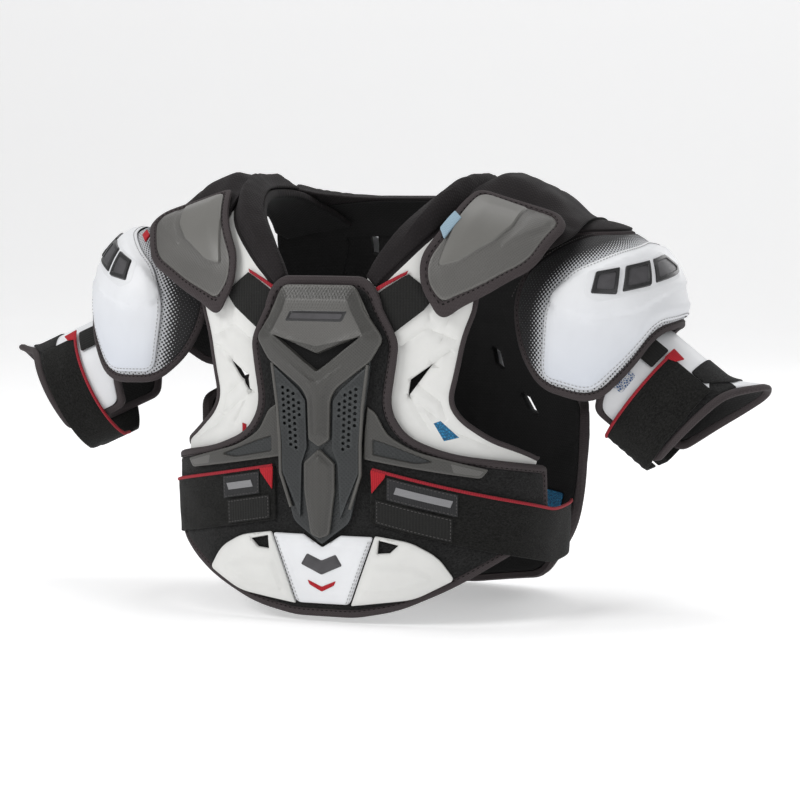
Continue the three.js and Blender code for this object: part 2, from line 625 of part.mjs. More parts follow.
function upperArm(side) {
  const form = guardForm(side);
  const { strap } = GUARD_AT[side];
  const outline = guardOutline(GUARD_AT[side]);
  const webbing = material(COLOUR.strap, MATT);
  slab(`bicep_guard_${side}`, form, withinBinding(outline), GUARD_SHELL, material(COLOUR.white, SATIN));
  edging(`bicep_guard_binding_${side}`, form, outline, GUARD_SHELL);
  slab(`bicep_tab_${side}`, form, rectangle(34, 58, -56, -20), GUARD_TAB, webbing);
  slab(`bicep_strap_${side}`, form, rectangle(38, 172, -16, strap), GUARD_STRAP, webbing);
  slab(`bicep_strap_anchor_${side}`, form, rectangle(-173, -112, -16, strap), GUARD_STRAP, webbing);
}

frontPanel();
sternumGuard();
bellyPad();
back();
for (const side of ['right', 'left']) {
  chestSide(side);
  bodyStrap(side);
  shoulder(side);
  cup(side);
  upperArm(side);
}

export default pads;
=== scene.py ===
"""Hockey shoulder pads: the looks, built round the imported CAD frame."""
import json
import math

import bpy
import numpy as np
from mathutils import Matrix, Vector, geometry, noise

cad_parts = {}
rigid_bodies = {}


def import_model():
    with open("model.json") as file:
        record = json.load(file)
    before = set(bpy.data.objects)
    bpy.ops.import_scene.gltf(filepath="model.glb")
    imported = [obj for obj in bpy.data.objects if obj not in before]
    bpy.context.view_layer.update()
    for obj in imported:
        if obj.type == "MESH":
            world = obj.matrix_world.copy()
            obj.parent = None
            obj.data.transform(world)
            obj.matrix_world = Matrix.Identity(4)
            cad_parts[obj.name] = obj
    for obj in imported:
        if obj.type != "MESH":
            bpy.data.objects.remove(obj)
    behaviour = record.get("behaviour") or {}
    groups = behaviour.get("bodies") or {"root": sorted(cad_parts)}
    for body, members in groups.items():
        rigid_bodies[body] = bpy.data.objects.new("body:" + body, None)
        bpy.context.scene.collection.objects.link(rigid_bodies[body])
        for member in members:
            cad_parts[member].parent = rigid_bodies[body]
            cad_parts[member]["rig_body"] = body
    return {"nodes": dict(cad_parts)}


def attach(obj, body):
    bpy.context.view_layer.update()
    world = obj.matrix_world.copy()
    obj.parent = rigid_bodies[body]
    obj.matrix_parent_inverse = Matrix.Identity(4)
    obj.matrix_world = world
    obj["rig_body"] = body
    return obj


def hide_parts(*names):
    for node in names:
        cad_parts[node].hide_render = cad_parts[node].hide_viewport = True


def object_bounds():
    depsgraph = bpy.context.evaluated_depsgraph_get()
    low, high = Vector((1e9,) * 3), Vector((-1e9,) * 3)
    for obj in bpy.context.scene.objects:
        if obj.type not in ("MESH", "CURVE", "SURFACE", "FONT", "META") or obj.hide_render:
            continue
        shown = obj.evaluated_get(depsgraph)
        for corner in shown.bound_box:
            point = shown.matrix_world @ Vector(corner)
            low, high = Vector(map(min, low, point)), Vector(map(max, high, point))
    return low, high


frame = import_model()
CAD_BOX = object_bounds()
BODY = {name: obj["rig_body"] for name, obj in frame["nodes"].items()}
SIDES = ("right", "left")
PLUS = {"left": 1, "right": -1}

# ---- driving dimensions, in millimetres (the same forms as the CAD) -----------------------------
TORSO = dict(width=169, depth=119, power=2.6, base=-105, length=300, arch=0.8)
BACK_WIDTH = 185
SLOPE = dict(drop=42, span=200, power=2.2)
WAIST = dict(share=0.05, height=290)
YOKE = dict(
    inner=105, outer=212, y=(2, 18), z=(-105, -118), rz=(107, 88), ry=(112, 103), power=0.88, arc=95
)
CUP = dict(centre=(208, 20, -115), radius=85, depth=93, girth=90, flare=0.10, skirt=85)
CUP_REST = {"right": 14, "left": 0}
GUARD = dict(radius=57, flare=22, start=28, length=42, spread=42)
GUARD_AT = {
    "right": dict(centre=(-305, 16, -195), droop=25, sweep=-8, at=-40, under=-0.92, front=28, strap=22),
    "left": dict(centre=(274, 20, -197), droop=38, sweep=0, at=-35, under=-0.75, front=40, strap=33),
}
BINDING, LAP = 8, 0.8  # how wide the edge tapes are, and how far a panel reaches under them
LEAST_RIM, LEAST_THICK = 0.35, 0.15
# Where each layer starts, as a distance from its form.
ON_VEST, ON_PANEL, ON_BASE, ON_BACK, ON_STRAP, ON_GUARD = 9.6, 18.2, 22.5, 21, 21.5, 2.9


# ---- forms --------------------------------------------------------------------------------------
def smooth(t):
    t = np.clip(t, 0, 1)
    return t * t * (3 - 2 * t)


def signed_power(v, p):
    return np.sign(v) * np.abs(v) ** p


def girth(width, depth, power):
    angle = np.linspace(0, math.pi / 2, 1441)
    x, y = width * np.sin(angle) ** (2 / power), depth * np.cos(angle) ** (2 / power)
    length = np.concatenate([[0], np.cumsum(np.hypot(np.diff(x), np.diff(y)))])
    quarter = length[-1]

    def at(u):
        turns = np.floor(np.abs(u) / quarter)
        rest = np.abs(u) - turns * quarter
        even = turns % 2 == 0
        part = np.interp(np.where(even, rest, quarter - rest), length, angle)
        total = np.where(even, turns * math.pi / 2 + part, (turns + 1) * math.pi / 2 - part)
        total = np.sign(u) * total
        return width * signed_power(np.sin(total), 2 / power), -depth * signed_power(np.cos(total), 2 / power)

    return at


def waist(z):
    return 1 - WAIST["share"] * np.clip((TORSO["base"] - z) / WAIST["height"], 0, 1) ** 2


def offset_from(surface, flip=1):
    def at(u, w, off):
        h = 0.5
        a = surface(u + h, w) - surface(u - h, w)
        b = surface(u, w + h) - surface(u, w - h)
        n = np.cross(a, b)
        n /= np.linalg.norm(n, axis=-1, keepdims=True)
        return surface(u, w) + n * (np.asarray(off) * flip)[..., None]

    return at


def torso_form(width):
    ring = girth(width, TORSO["depth"], TORSO["power"])

    def surface(u, w):
        x, front = ring(u)
        angle = np.clip(w / TORSO["length"], 0, 1) * math.pi
        top = -SLOPE["drop"] * (np.abs(x) / SLOPE["span"]) ** SLOPE["power"]
        rise = np.abs(np.sin(angle)) ** TORSO["arch"]
        below = np.minimum(w, 0) - np.maximum(w - TORSO["length"], 0)
        z = TORSO["base"] + (top - TORSO["base"]) * rise + below
        k = waist(z)
        return np.stack([x * k, front * signed_power(np.cos(angle), TORSO["arch"]) * k, z], -1)

    return offset_from(surface)


def belt_form():
    ring = girth(TORSO["width"], TORSO["depth"], TORSO["power"])

    def surface(u, w):
        x, y = ring(u)
        z = TORSO["base"] + w
        return np.stack([x * waist(z), y * waist(z), z], -1)

    return offset_from(surface)


def yoke(u, w, off):
    t = (np.abs(u) - YOKE["inner"]) / (YOKE["outer"] - YOKE["inner"])

    def along(key):
        return YOKE[key][0] + (YOKE[key][1] - YOKE[key][0]) * t

    angle = w / YOKE["arc"]
    y = along("y") + (along("ry") + off) * signed_power(np.sin(angle), YOKE["power"])
    z = along("z") + (along("rz") + off) * signed_power(np.cos(angle), YOKE["power"])
    return np.stack([u, y, z], -1)


def cup_form(side):
    lift = math.radians(CUP_REST[side])
    cx, cy, cz = CUP["centre"]

    def at(u, w, off):
        azimuth = u / CUP["girth"]
        elevation = np.clip(w / CUP["radius"], 0, math.pi / 2)
        pull = (1 - CUP["flare"] * (np.minimum(w, 0) / CUP["skirt"]) ** 2) * np.cos(elevation)
        x = (CUP["radius"] + off) * np.cos(azimuth) * pull
        y = (CUP["depth"] + off) * np.sin(azimuth) * pull
        z = np.where(w < 0, w, (CUP["radius"] + off) * np.sin(elevation))
        out = x * math.cos(lift) - z * math.sin(lift) + cx
        return np.stack([PLUS[side] * out, y + cy, x * math.sin(lift) + z * math.cos(lift) + cz], -1)

    return at


def guard_axes(side):
    droop, sweep = (math.radians(GUARD_AT[side][k]) for k in ("droop", "sweep"))
    out = np.array([PLUS[side] * math.cos(sweep), math.sin(sweep), 0])
    front = np.array([PLUS[side] * math.sin(sweep), -math.cos(sweep), 0])
    along = out * math.cos(droop) + np.array([0, 0, -math.sin(droop)])
    top = out * math.sin(droop) + np.array([0, 0, math.cos(droop)])
    return along, top, front


def guard_form(side):
    along, top, front = guard_axes(side)
    place = GUARD_AT[side]

    def surface(u, w):
        angle = u / GUARD["radius"]
        spread = (np.degrees(angle) - place["at"]) / GUARD["spread"]
        flare = GUARD["flare"] * smooth((w - GUARD["start"]) / GUARD["length"]) * np.exp(-spread**2)
        upward = np.maximum(np.cos(angle), place["under"])
        across = upward[..., None] * top + np.sin(angle)[..., None] * front
        return np.array(place["centre"]) + w[..., None] * along + across * (GUARD["radius"] + flare)[
            ..., None,
        ]

    return offset_from(surface, PLUS[side])


torso, rear, belt = torso_form(TORSO["width"]), torso_form(BACK_WIDTH), belt_form()
CUPS = {side: cup_form(side) for side in SIDES}
GUARDS = {side: guard_form(side) for side in SIDES}


# ---- flat outlines ------------------------------------------------------------------------------
def mirrored(corners):
    return [[-c[0], *c[1:]] for c in corners][::-1]


def symmetric(half):
    return half + mirrored(half)


def sided(side, corners):
    return corners if side == "left" else mirrored(corners)


def area(points):
    p = np.array([c[:2] for c in points], float)
    q = np.roll(p, -1, 0)
    return float((p[:, 0] * q[:, 1] - p[:, 1] * q[:, 0]).sum() / 2)


def rounded(corners, least=0.0):
    points = []
    for i, corner in enumerate(corners):
        c = np.array(corner[:2], float)
        radius = max(corner[2] if len(corner) > 2 else 0, least)
        if radius == 0:
            points.append(c)
            continue
        ends = []
        for other in (corners[i - 1], corners[(i + 1) % len(corners)]):
            edge = np.array(other[:2], float) - c
            length = np.linalg.norm(edge)
            ends.append(c + edge / length * min(radius, length * 0.45))
        for t in np.linspace(0, 1, 7 if radius > 3 else 4):
            points.append((1 - t) ** 2 * ends[0] + 2 * t * (1 - t) * c + t * t * ends[1])
    return [list(p) for p in points]


def inset(corners, distance):
    turn = math.copysign(1, area(corners))
    made = []
    for i, corner in enumerate(corners):
        c = np.array(corner[:2], float)
        before, after = (np.array(corners[k][:2], float) for k in (i - 1, (i + 1) % len(corners)))
        normals = []
        for a, b in ((before, c), (c, after)):
            e = (b - a) / np.linalg.norm(b - a)
            normals.append(np.array([-e[1], e[0]]) * turn)
        mid = normals[0] + normals[1]
        mid /= np.linalg.norm(mid)
        reach = distance / mid.dot(normals[0])
        made.append([*(c + mid * reach), *(corner[2:])])
    return made


def spline(points, count):
    """A Catmull-Rom line through the points."""
    p = np.array(points, float)
    made = []
    for t in np.linspace(0, len(p) - 1, count + 1):
        i = min(int(t), len(p) - 2)
        f = t - i
        a, b, c, d = p[max(i - 1, 0)], p[i], p[i + 1], p[min(i + 2, len(p) - 1)]
        v0, v1 = (c - a) / 2, (d - b) / 2
        made.append(
            (2 * b - 2 * c + v0 + v1) * f**3 + (-3 * b + 3 * c - 2 * v0 - v1) * f**2 + v0 * f + b
        )
    return [list(m) for m in made]


def unit(rows):
    return rows / np.maximum(np.linalg.norm(rows, axis=1, keepdims=True), 1e-9)


def lengths_along(path):
    return np.concatenate([[0], np.cumsum(np.linalg.norm(np.diff(path, axis=0), axis=1))])


def band(middle, widths):
    p = np.array(middle, float)
    along = unit(np.gradient(p, axis=0))
    n = np.stack([along[:, 1], -along[:, 0]], 1)
    w = np.broadcast_to(np.asarray(widths, float), (len(p),))[:, None]
    return [list(q) for q in (p + n * w)] + [list(q) for q in (p - n * w)[::-1]]


def resampled(loop, step, closed=True):
    p = np.array(loop, float)[:, :2]
    ends = np.roll(p, -1, 0) if closed else p[1:]
    made = []
    for a, b in zip(p, ends):
        n = max(1, int(round(np.linalg.norm(b - a) / step)))
        made += [a + (b - a) * k / n for k in range(n)]
    if not closed:
        made.append(p[-1])
    return np.array(made)


def distance_to(points, line, closed=False):
    """Distance of each point to a polyline."""
    line = np.array(line, float)[:, :2]
    ends = np.roll(line, -1, 0) if closed else line[1:]
    best = np.full(len(points), 1e9)
    for a, b in zip(line, ends):
        d = b - a
        t = np.clip(((points - a) @ d) / max(d @ d, 1e-9), 0, 1)
        best = np.minimum(best, np.linalg.norm(points - a - t[:, None] * d, axis=1))
    return best


def inside(points, loop):
    loop = np.array(loop, float)[:, :2]
    x, y = points[:, 0], points[:, 1]
    odd = np.zeros(len(points), bool)
    for (ax, ay), (bx, by) in zip(loop, np.roll(loop, -1, 0)):
        if ay == by:
            continue
        crosses = (ay > y) != (by > y)
        odd ^= crosses & (x < (bx - ax) * (y - ay) / (by - ay) + ax)
    return odd


# ---- pieces -------------------------------------------------------------------------------------
def flat_mesh(border, holes, creases, rings, step):
    """A fine triangle mesh of a flat outline, with free rings of points just inside its edges."""
    loops = [np.array(border), *[np.array(h) for h in holes]]
    lo, hi = loops[0].min(0), loops[0].max(0)
    grid = []
    for j, y in enumerate(np.arange(lo[1], hi[1], step * 0.866)):
        grid += [(x, y) for x in np.arange(lo[0] + (j % 2) * step / 2, hi[0], step)]
    grid = np.array(grid)

    def clear(points, gap):
        keep = inside(points, loops[0]) & (distance_to(points, loops[0], True) > gap)
        for hole in loops[1:]:
            keep &= ~inside(points, hole) & (distance_to(points, hole, True) > gap)
        return points[keep]

    grid = clear(grid, (rings[-1] if rings else 0) + step * 0.4)
    for line, closed in creases:
        grid = grid[distance_to(grid, line, closed) > step * 0.3]
    free = [grid]
    for loop in loops:
        turn = math.copysign(1, area(loop))
        inward = turn if loop is loops[0] else -turn
        along = unit(np.roll(loop, -1, 0) - np.roll(loop, 1, 0))
        normal = np.stack([-along[:, 1], along[:, 0]], 1) * inward
        for ring in rings:
            free.append(clear(loop + normal * ring, ring * 0.85))
    points, edges = [], []
    for loop in loops:
        start = len(points)
        points += list(loop)
        edges += [(start + i, start + (i + 1) % len(loop)) for i in range(len(loop))]
    for line, closed in creases:
        start = len(points)
        points += list(line)
        count = len(line)
        edges += [(start + i, start + (i + 1) % count) for i in range(count if closed else count - 1)]
    for some in free:
        points += list(some)
    verts, _, faces, *_ = geometry.delaunay_2d_cdt(
        [Vector((float(a), float(b))) for a, b in points], edges, [], 0, 1e-3
    )
    flat = np.array([(v.x, v.y) for v in verts])
    faces = np.array([list(f) for f in faces])
    centre = flat[faces].mean(1)
    keep = inside(centre, loops[0])
    for hole in loops[1:]:
        keep &= ~inside(centre, hole)
    faces = faces[keep]
    used = np.unique(faces)
    renumber = np.zeros(len(flat), int)
    renumber[used] = np.arange(len(used))
    return flat[used], renumber[faces]


def border_edges(faces):
    directed = {(int(a), int(b)) for f in faces for a, b in zip(f, np.roll(f, -1))}
    return [(a, b) for a, b in directed if (b, a) not in directed]


def finish_mesh(name, verts, faces, flat, mats, indices=None, sharp=38):
    mesh = bpy.data.meshes.new(name)
    mesh.from_pydata([tuple(v * 0.001) for v in verts], [], [tuple(int(i) for i in f) for f in faces])
    for m in mats:
        mesh.materials.append(m)
    if indices is not None:
        mesh.polygons.foreach_set("material_index", np.asarray(indices, np.int32))
    attribute = mesh.attributes.new("flat", "FLOAT_VECTOR", "POINT")
    attribute.data.foreach_set("vector", np.asarray(flat, np.float32).ravel())
    mesh.validate()
    mesh.polygons.foreach_set("use_smooth", np.ones(len(mesh.polygons), bool))
    mesh.set_sharp_from_angle(angle=math.radians(sharp))
    return add(name, mesh)


def add(name, data):
    obj = bpy.data.objects.new(name, data)
    bpy.context.scene.collection.objects.link(obj)
    return obj


def outward(verts, faces):
    """The faces of a closed solid, all turned to look out of it."""
    a, b, c = (verts[[f[k] for f in faces]] for k in range(3))
    inside_out = np.einsum("ij,ij->i", a, np.cross(b, c)).sum() < 0
    return [f[::-1] for f in faces] if inside_out else faces


def piece(
    name, form, corners, inner, outer, mat, slot, node=None, body=None, crown=0, crown_width=18,
    holes=(), rim=None, step=5, grooves=(), ridges=(), terraces=(), back=None, inlays=(), lift=None,
    bottom=None, pad=None, least=0.0, sharp=38, tone=None, wall=None, ripple=None,
):
    """A pad, plate or tape: a flat outline laid on a form, with rounded rims, seams and raised shapes."""
    border = resampled(rounded(corners, least), step)
    windows = [resampled(rounded(h), min(step, 3)) for h in holes]
    radius = min((outer - inner) / 2, 2.0) if rim is None else rim
    is_round = radius > LEAST_RIM
    rings = [radius * 0.3, radius] if is_round else []
    creases = []
    for shape, _, bevel in terraces:
        outline = rounded(shape)
        creases += [(resampled(outline, step), True), (resampled(inset(outline, bevel), step), True)]
    creases += [(resampled(rounded(shape), step), True) for shape, _ in inlays]
    creases += [(resampled(line, step, False), False) for line, _, _ in grooves]
    flat, faces = flat_mesh(border, windows, creases, rings, step)
    edge = outer_edge = distance_to(flat, border, True)
    for window in windows:
        edge = np.minimum(edge, distance_to(flat, window, True))
    u, w = flat[:, 0], flat[:, 1]
    swell = crown(u, w) if callable(crown) else crown
    top = outer + swell * smooth(outer_edge / crown_width)
    for line, height, width in [(line, -depth, width) for line, depth, width in grooves] + list(ridges):
        top = top + height * np.exp(-((distance_to(flat, line) / width) ** 2))
    for shape, height, bevel in terraces:
        outline = rounded(shape)
        depth_in = np.where(inside(flat, outline), distance_to(flat, outline, True), 0)
        top = top + height * np.clip(depth_in / bevel, 0, 1)
    if lift is not None:
        top = top + lift(u, w)
    if ripple is not None:
        top = top + rippled(u, w, *ripple) * smooth(outer_edge / 6)
    low = np.full(len(flat), float(inner)) if bottom is None else inner + bottom(u, w)
    if is_round:
        drop = radius - np.sqrt(np.maximum(radius**2 - np.clip(radius - edge, 0, radius) ** 2, 0))
        top, low = top - drop, low + drop
    top = np.maximum(top, low + LEAST_THICK)
    count = len(flat)
    verts = np.concatenate([form(u, w, top), form(u, w, low)])
    sides = border_edges(faces)
    walls = np.array([(b, a, a + count) for a, b in sides] + [(b, a + count, b + count) for a, b in sides])
    below = faces[:, ::-1] + count
    every = outward(verts, np.concatenate([faces, below, walls]))
    centre = flat[faces].mean(1)
    index = np.zeros(len(faces), int)
    mats = [mat]
    for shape, other in inlays:
        if other not in mats:
            mats.append(other)
        index[inside(centre, rounded(shape))] = mats.index(other)
    indices = [index]
    for other, count_of in ((back, len(faces)), (wall, len(walls))):
        if other is not None:
            mats.append(other)
        indices.append(np.full(count_of, 0 if other is None else len(mats) - 1))
    third = edge if tone is None else tone(flat)
    note = np.stack([u, w, third], 1)
    obj = finish_mesh(name, verts, every, np.concatenate([note, note]), mats, np.concatenate(indices), sharp)
    return settle(obj, node, body)


def rippled(u, w, height, across, along):
    """The soft unevenness of a sewn pad, in waves of the given lengths."""
    return np.array([noise.noise((a / across, b / along, 7.0)) for a, b in zip(u, w)]) * height


def settle(obj, node=None, body=None):
    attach(obj, body or BODY[node])
    if node:
        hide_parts(node)
    return obj


def tape(name, form, line, half, low, high, mat, body, step=4, sides=10):
    """A cord or folded tape that follows a line on a form, oval in section."""
    path = resampled(line, step, False)
    along = unit(np.gradient(path, axis=0))
    normal = np.stack([along[:, 1], -along[:, 0]], 1)
    verts, notes = [], []
    run = lengths_along(path)
    for k in range(sides):
        angle = 2 * math.pi * k / sides
        at = path + normal * half * math.cos(angle)
        off = (low + high) / 2 + (high - low) / 2 * math.sin(angle)
        verts.append(form(at[:, 0], at[:, 1], np.full(len(at), off)))
        notes.append(np.stack([run, np.full(len(run), k * 1.5), np.zeros(len(run))], 1))
    n = len(path)
    verts, notes = np.concatenate(verts), np.concatenate(notes)
    faces = []
    for k in range(sides):
        other = (k + 1) % sides
        faces += [(k * n + i, k * n + i + 1, other * n + i + 1, other * n + i) for i in range(n - 1)]
    faces.append(tuple(k * n for k in range(sides)))
    faces.append(tuple(k * n + n - 1 for k in range(sides))[::-1])
    obj = finish_mesh(name, verts, outward(verts, faces), notes, [mat], sharp=70)
    return settle(obj, body=body)


STITCH_SHAPE = ((0, 0.25), (0.18, 0.85), (0.5, 1.0), (0.82, 0.85), (1, 0.25))


def stitches(
    name, form, line, off, mat, slot, body, pitch, length, thick=0.45, wide=0.45, closed=True, sides=6,
):
    """A row of sewn stitches along a line on a form."""
    path = resampled(line, 1.0, closed)
    if closed:
        path = np.concatenate([path, path[:1]])
    run = lengths_along(path)
    total = run[-1]
    starts = np.arange(pitch * 0.3, total - length, total / max(1, round(total / pitch)))

    def point(at):
        return np.array([np.interp(at, run, path[:, k]) for k in (0, 1)])

    verts, faces = [], []
    for s in starts:
        base = len(verts)
        for t, r in STITCH_SHAPE:
            at = s + t * length
            p = point(at)
            ahead = point(min(at + 0.5, total)) - point(max(at - 0.5, 0))
            d = ahead / max(np.linalg.norm(ahead), 1e-9)
            n = np.array([d[1], -d[0]])
            for k in range(sides):
                a = 2 * math.pi * k / sides
                verts.append((*(p + n * math.cos(a) * wide * r), off + math.sin(a) * thick * r))
        last = len(verts) - sides
        for row in range(base, last, sides):
            for k in range(sides):
                other = (k + 1) % sides
                faces.append((row + k, row + other, row + sides + other, row + sides + k))
        faces.append(tuple(range(base, base + sides))[::-1])
        faces.append(tuple(range(last, last + sides)))
    v = np.array(verts)
    xyz = form(v[:, 0], v[:, 1], v[:, 2])
    obj = finish_mesh(name, xyz, outward(xyz, faces), v, [mat], sharp=80)
    return settle(obj, body=body)


# ---- materials ----------------------------------------------------------------------------------
class Look:
    """A small wrapper for building a material's nodes."""

    def __init__(self, name, rough=0.6, metallic=0.0, sheen=0.0, coat=0.0, spec=0.5):
        self.mat = bpy.data.materials.new(name)
        self.mat.use_nodes = True
        self.tree = self.mat.node_tree
        self.shader = self.tree.nodes["Principled BSDF"]
        self.set(Roughness=rough, Metallic=metallic)
        self.shader.inputs["Specular IOR Level"].default_value = spec
        self.shader.inputs["Sheen Weight"].default_value = sheen
        self.shader.inputs["Coat Weight"].default_value = coat
        flat = self.node("ShaderNodeAttribute")
        flat.attribute_name = "flat"
        self.flat = flat.outputs["Vector"]
        split = self.node("ShaderNodeSeparateXYZ")
        self.join(self.flat, split.inputs[0])
        self.u, self.w, self.d = split.outputs

    def set(self, **values):
        for key, value in values.items():
            self.shader.inputs[key].default_value = value

    def node(self, kind):
        return self.tree.nodes.new(kind)

    def join(self, a, b):
        self.tree.links.new(a, b)

    def put(self, value, socket):
        if isinstance(value, bpy.types.NodeSocket):
            self.join(value, socket)
        else:
            socket.default_value = value

    def math(self, op, a, b=0.0, c=0.0):
        n = self.node("ShaderNodeMath")
        n.operation = op
        for value, socket in zip((a, b, c), n.inputs):
            self.put(value, socket)
        return n.outputs[0]

    def noise(self, scale, detail=2.0, rough=0.5):
        n = self.node("ShaderNodeTexNoise")
        self.join(self.flat, n.inputs["Vector"])
        n.inputs["Scale"].default_value = scale
        n.inputs["Detail"].default_value = detail
        n.inputs["Roughness"].default_value = rough
        return n.outputs["Fac"]

    def cells(self, scale, feature="F1"):
        n = self.node("ShaderNodeTexVoronoi")
        n.feature = feature
        self.join(self.flat, n.inputs["Vector"])
        n.inputs["Scale"].default_value = scale
        return n.outputs["Distance"]

    def remap(self, value, a, b, c=0.0, d=1.0):
        n = self.node("ShaderNodeMapRange")
        for v, socket in zip((value, a, b, c, d), n.inputs):
            self.put(v, socket)
        return n.outputs[0]

    def mix(self, fac, a, b):
        n = self.node("ShaderNodeMix")
        n.data_type = "RGBA"
        self.put(fac, n.inputs["Factor"])
        for value, socket in zip((a, b), (n.inputs[6], n.inputs[7])):
            self.put(value if isinstance(value, bpy.types.NodeSocket) else (*value, 1.0), socket)
        return n.outputs[2]

    def colour(self, value):
        self.join(value, self.shader.inputs["Base Color"])

    def roughness(self, value):
        self.join(value, self.shader.inputs["Roughness"])

    def bump(self, height, distance, strength=1.0):
        n = self.node("ShaderNodeBump")
        n.inputs["Strength"].default_value = strength
        n.inputs["Distance"].default_value = distance * 0.001
        self.join(height, n.inputs["Height"])
        previous = self.shader.inputs["Normal"]
        if previous.is_linked:
            self.join(previous.links[0].from_socket, n.inputs["Normal"])
        self.join(n.outputs[0], previous)

    def wave(self, coordinate, pitch):
        """0..1, one swell each pitch millimetres."""
        turned = self.math("MULTIPLY", coordinate, 2 * math.pi / pitch)
        return self.math("MULTIPLY_ADD", self.math("SINE", turned), 0.5, 0.5)

    def times(self, a, b):
        return self.math("MULTIPLY", a, b)

    def diagonals(self, pitch):
        """Two crossing waves."""
        turned = self.math("ADD", self.u, self.w), self.math("SUBTRACT", self.u, self.w)
        return [self.wave(one, pitch) for one in turned]


def scaled(tint, factor):
    return tuple(c * factor for c in tint)


def white_hide(name, tint, rough=0.42, grain=0.16, shaded=None):
    look = Look(name, rough=rough, spec=0.45)
    cloud = look.noise(0.03, 3)
    fine = look.noise(0.9, 3)
    shade = look.remap(cloud, 0.3, 0.7)
    base = look.mix(shade, scaled(tint, 0.93), tint)
    # Painted shade: when shaded is given, the colour turns to the darker shade tint towards low w.
    if shaded is not None:
        low, high, shade_tint = shaded
        base = look.mix(look.remap(look.w, low, high), shade_tint, base)
    # Painted shade: the colour darkens towards every edge, within 5 mm of it.
    edge_shade = look.remap(look.d, 0.0, 5.0, 0.55, 1.0)
    look.colour(look.mix(edge_shade, scaled(tint, 0.80), base))
    look.roughness(look.remap(fine, 0.25, 0.75, rough - 0.08, rough + 0.10))
    look.bump(look.cells(0.55, "SMOOTH_F1"), grain, 0.35)
    look.bump(fine, grain * 0.6, 0.4)
    return look.mat


def moulded(name, light, dark, rough=0.42, metallic=0.25, lattice=2.6):
    """Moulded plastic with a fine diamond lattice all over."""
    look = Look(name, rough=rough, metallic=metallic, spec=0.5)
    weave = look.times(*look.diagonals(lattice))
    cloud = look.remap(look.noise(0.012, 1), 0.3, 0.7, 0.25, 0.75)
    base = look.mix(cloud, dark, light)
    pits = look.remap(weave, 0.10, 0.55)
    base = look.mix(look.times(pits, 0.30), base, scaled(dark, 0.55))
    # Painted highlight: the colour lightens towards each edge, standing in for light caught on the rims.
    rim = look.remap(look.d, 0.0, 2.4, 0.55, 0.0)
    base = look.mix(rim, base, tuple(min(1, c * 1.7) for c in light))
    look.colour(base)
    look.roughness(look.remap(look.noise(0.7, 3), 0.3, 0.7, rough - 0.07, rough + 0.09))
    look.bump(weave, 0.35, 0.5)
    look.bump(look.noise(1.6, 2), 0.08, 0.4)
    return look.mat


def knit(name, tint, pitch=2.2, depth=0.35, rough=0.86, sheen=0.0, vary=0.45):
    look = Look(name, rough=rough, sheen=sheen, spec=0.15)
    rows = look.wave(look.w, pitch)
    twill = look.times(*look.diagonals(pitch * 1.15))
    height = look.math("ADD", look.times(rows, 0.35), twill)
    speck = look.noise(1.3, 3, 0.65)
    cloud = look.noise(0.05, 2)
    tone = look.math("ADD", look.times(speck, 0.6), look.times(cloud, 0.4))
    base = look.mix(look.remap(tone, 0.36, 0.64), scaled(tint, 1 - vary), scaled(tint, 1 + vary))
    base = look.mix(look.times(look.remap(height, 0.0, 0.8), 0.5), scaled(tint, 0.6), base)
    look.colour(base)
    look.bump(height, depth, 0.6)
    look.bump(speck, 0.2, 0.5)
    return look.mat


def webbing(name, tint, pitch=2.6):
    look = Look(name, rough=0.85, sheen=0.04, spec=0.25)
    ribs = look.wave(look.u, pitch)
    cords = look.wave(look.w, pitch * 0.62)
    height = look.math("MULTIPLY_ADD", cords, 0.5, ribs)
    speck = look.noise(1.5, 3, 0.7)
    base = look.mix(look.remap(speck, 0.35, 0.65), scaled(tint, 0.55), scaled(tint, 1.5))
    base = look.mix(look.times(look.remap(height, 0.1, 1.3), 0.45), scaled(tint, 0.5), base)
    look.colour(base)
    look.bump(height, 0.4, 0.55)
    look.bump(speck, 0.25, 0.6)
    return look.mat


def pile(name, tint):
    """Brushed loop fabric that hooks hold on to."""
    look = Look(name, rough=0.95, sheen=0.05, spec=0.15)
    loops = look.noise(0.5, 5, 0.8)
    nap = look.noise(0.07, 2)
    tone = look.math("ADD", look.times(loops, 0.93), look.times(nap, 0.07))
    base = look.mix(look.remap(tone, 0.36, 0.66), scaled(tint, 0.3), scaled(tint, 2.4))
    look.colour(base)
    look.bump(loops, 0.9, 0.9)
    return look.mat


def halftone(name):
    """Black mesh fabric whose printed white dots grow until they meet round the plate."""
    look = Look(name, rough=0.6, sheen=0.05, spec=0.35)
    pitch = 4.4 * math.sqrt(2) / 1.4
    dots = look.times(look.math("ADD", *look.diagonals(pitch)), 0.5)
    level = look.remap(look.d, -2.0, 19.0, 0.10, 1.0)
    edge = look.math("SUBTRACT", dots, level)
    fac = look.remap(edge, -0.06, 0.06)
    cloud = look.noise(0.06, 2)
    black = look.mix(cloud, (0.008, 0.008, 0.009), (0.022, 0.021, 0.022))
    look.colour(look.mix(fac, black, (0.52, 0.53, 0.55)))
    look.bump(look.cells(0.8), 0.5, 0.6)
    return look.mat


def honeycomb(name, tint, ground):
    look = Look(name, rough=0.5, spec=0.4)
    cell = look.cells(0.42, "DISTANCE_TO_EDGE")
    fac = look.remap(cell, 0.06, 0.2)
    cloud = look.noise(0.3, 2)
    holes = look.mix(cloud, scaled(ground, 0.6), ground)
    look.colour(look.mix(fac, tint, holes))
    look.bump(fac, -0.6, 0.8)
    return look.mat


def gloss(name, tint, rough=0.30):
    look = Look(name, rough=rough, coat=0.1, spec=0.4)
    cloud = look.noise(0.12, 3)
    look.colour(look.mix(cloud, scaled(tint, 0.7), scaled(tint, 1.4)))
    look.roughness(look.remap(look.noise(0.8, 2), 0.3, 0.7, rough - 0.04, rough + 0.1))
    look.bump(look.noise(1.2, 2), 0.06, 0.4)
    return look.mat


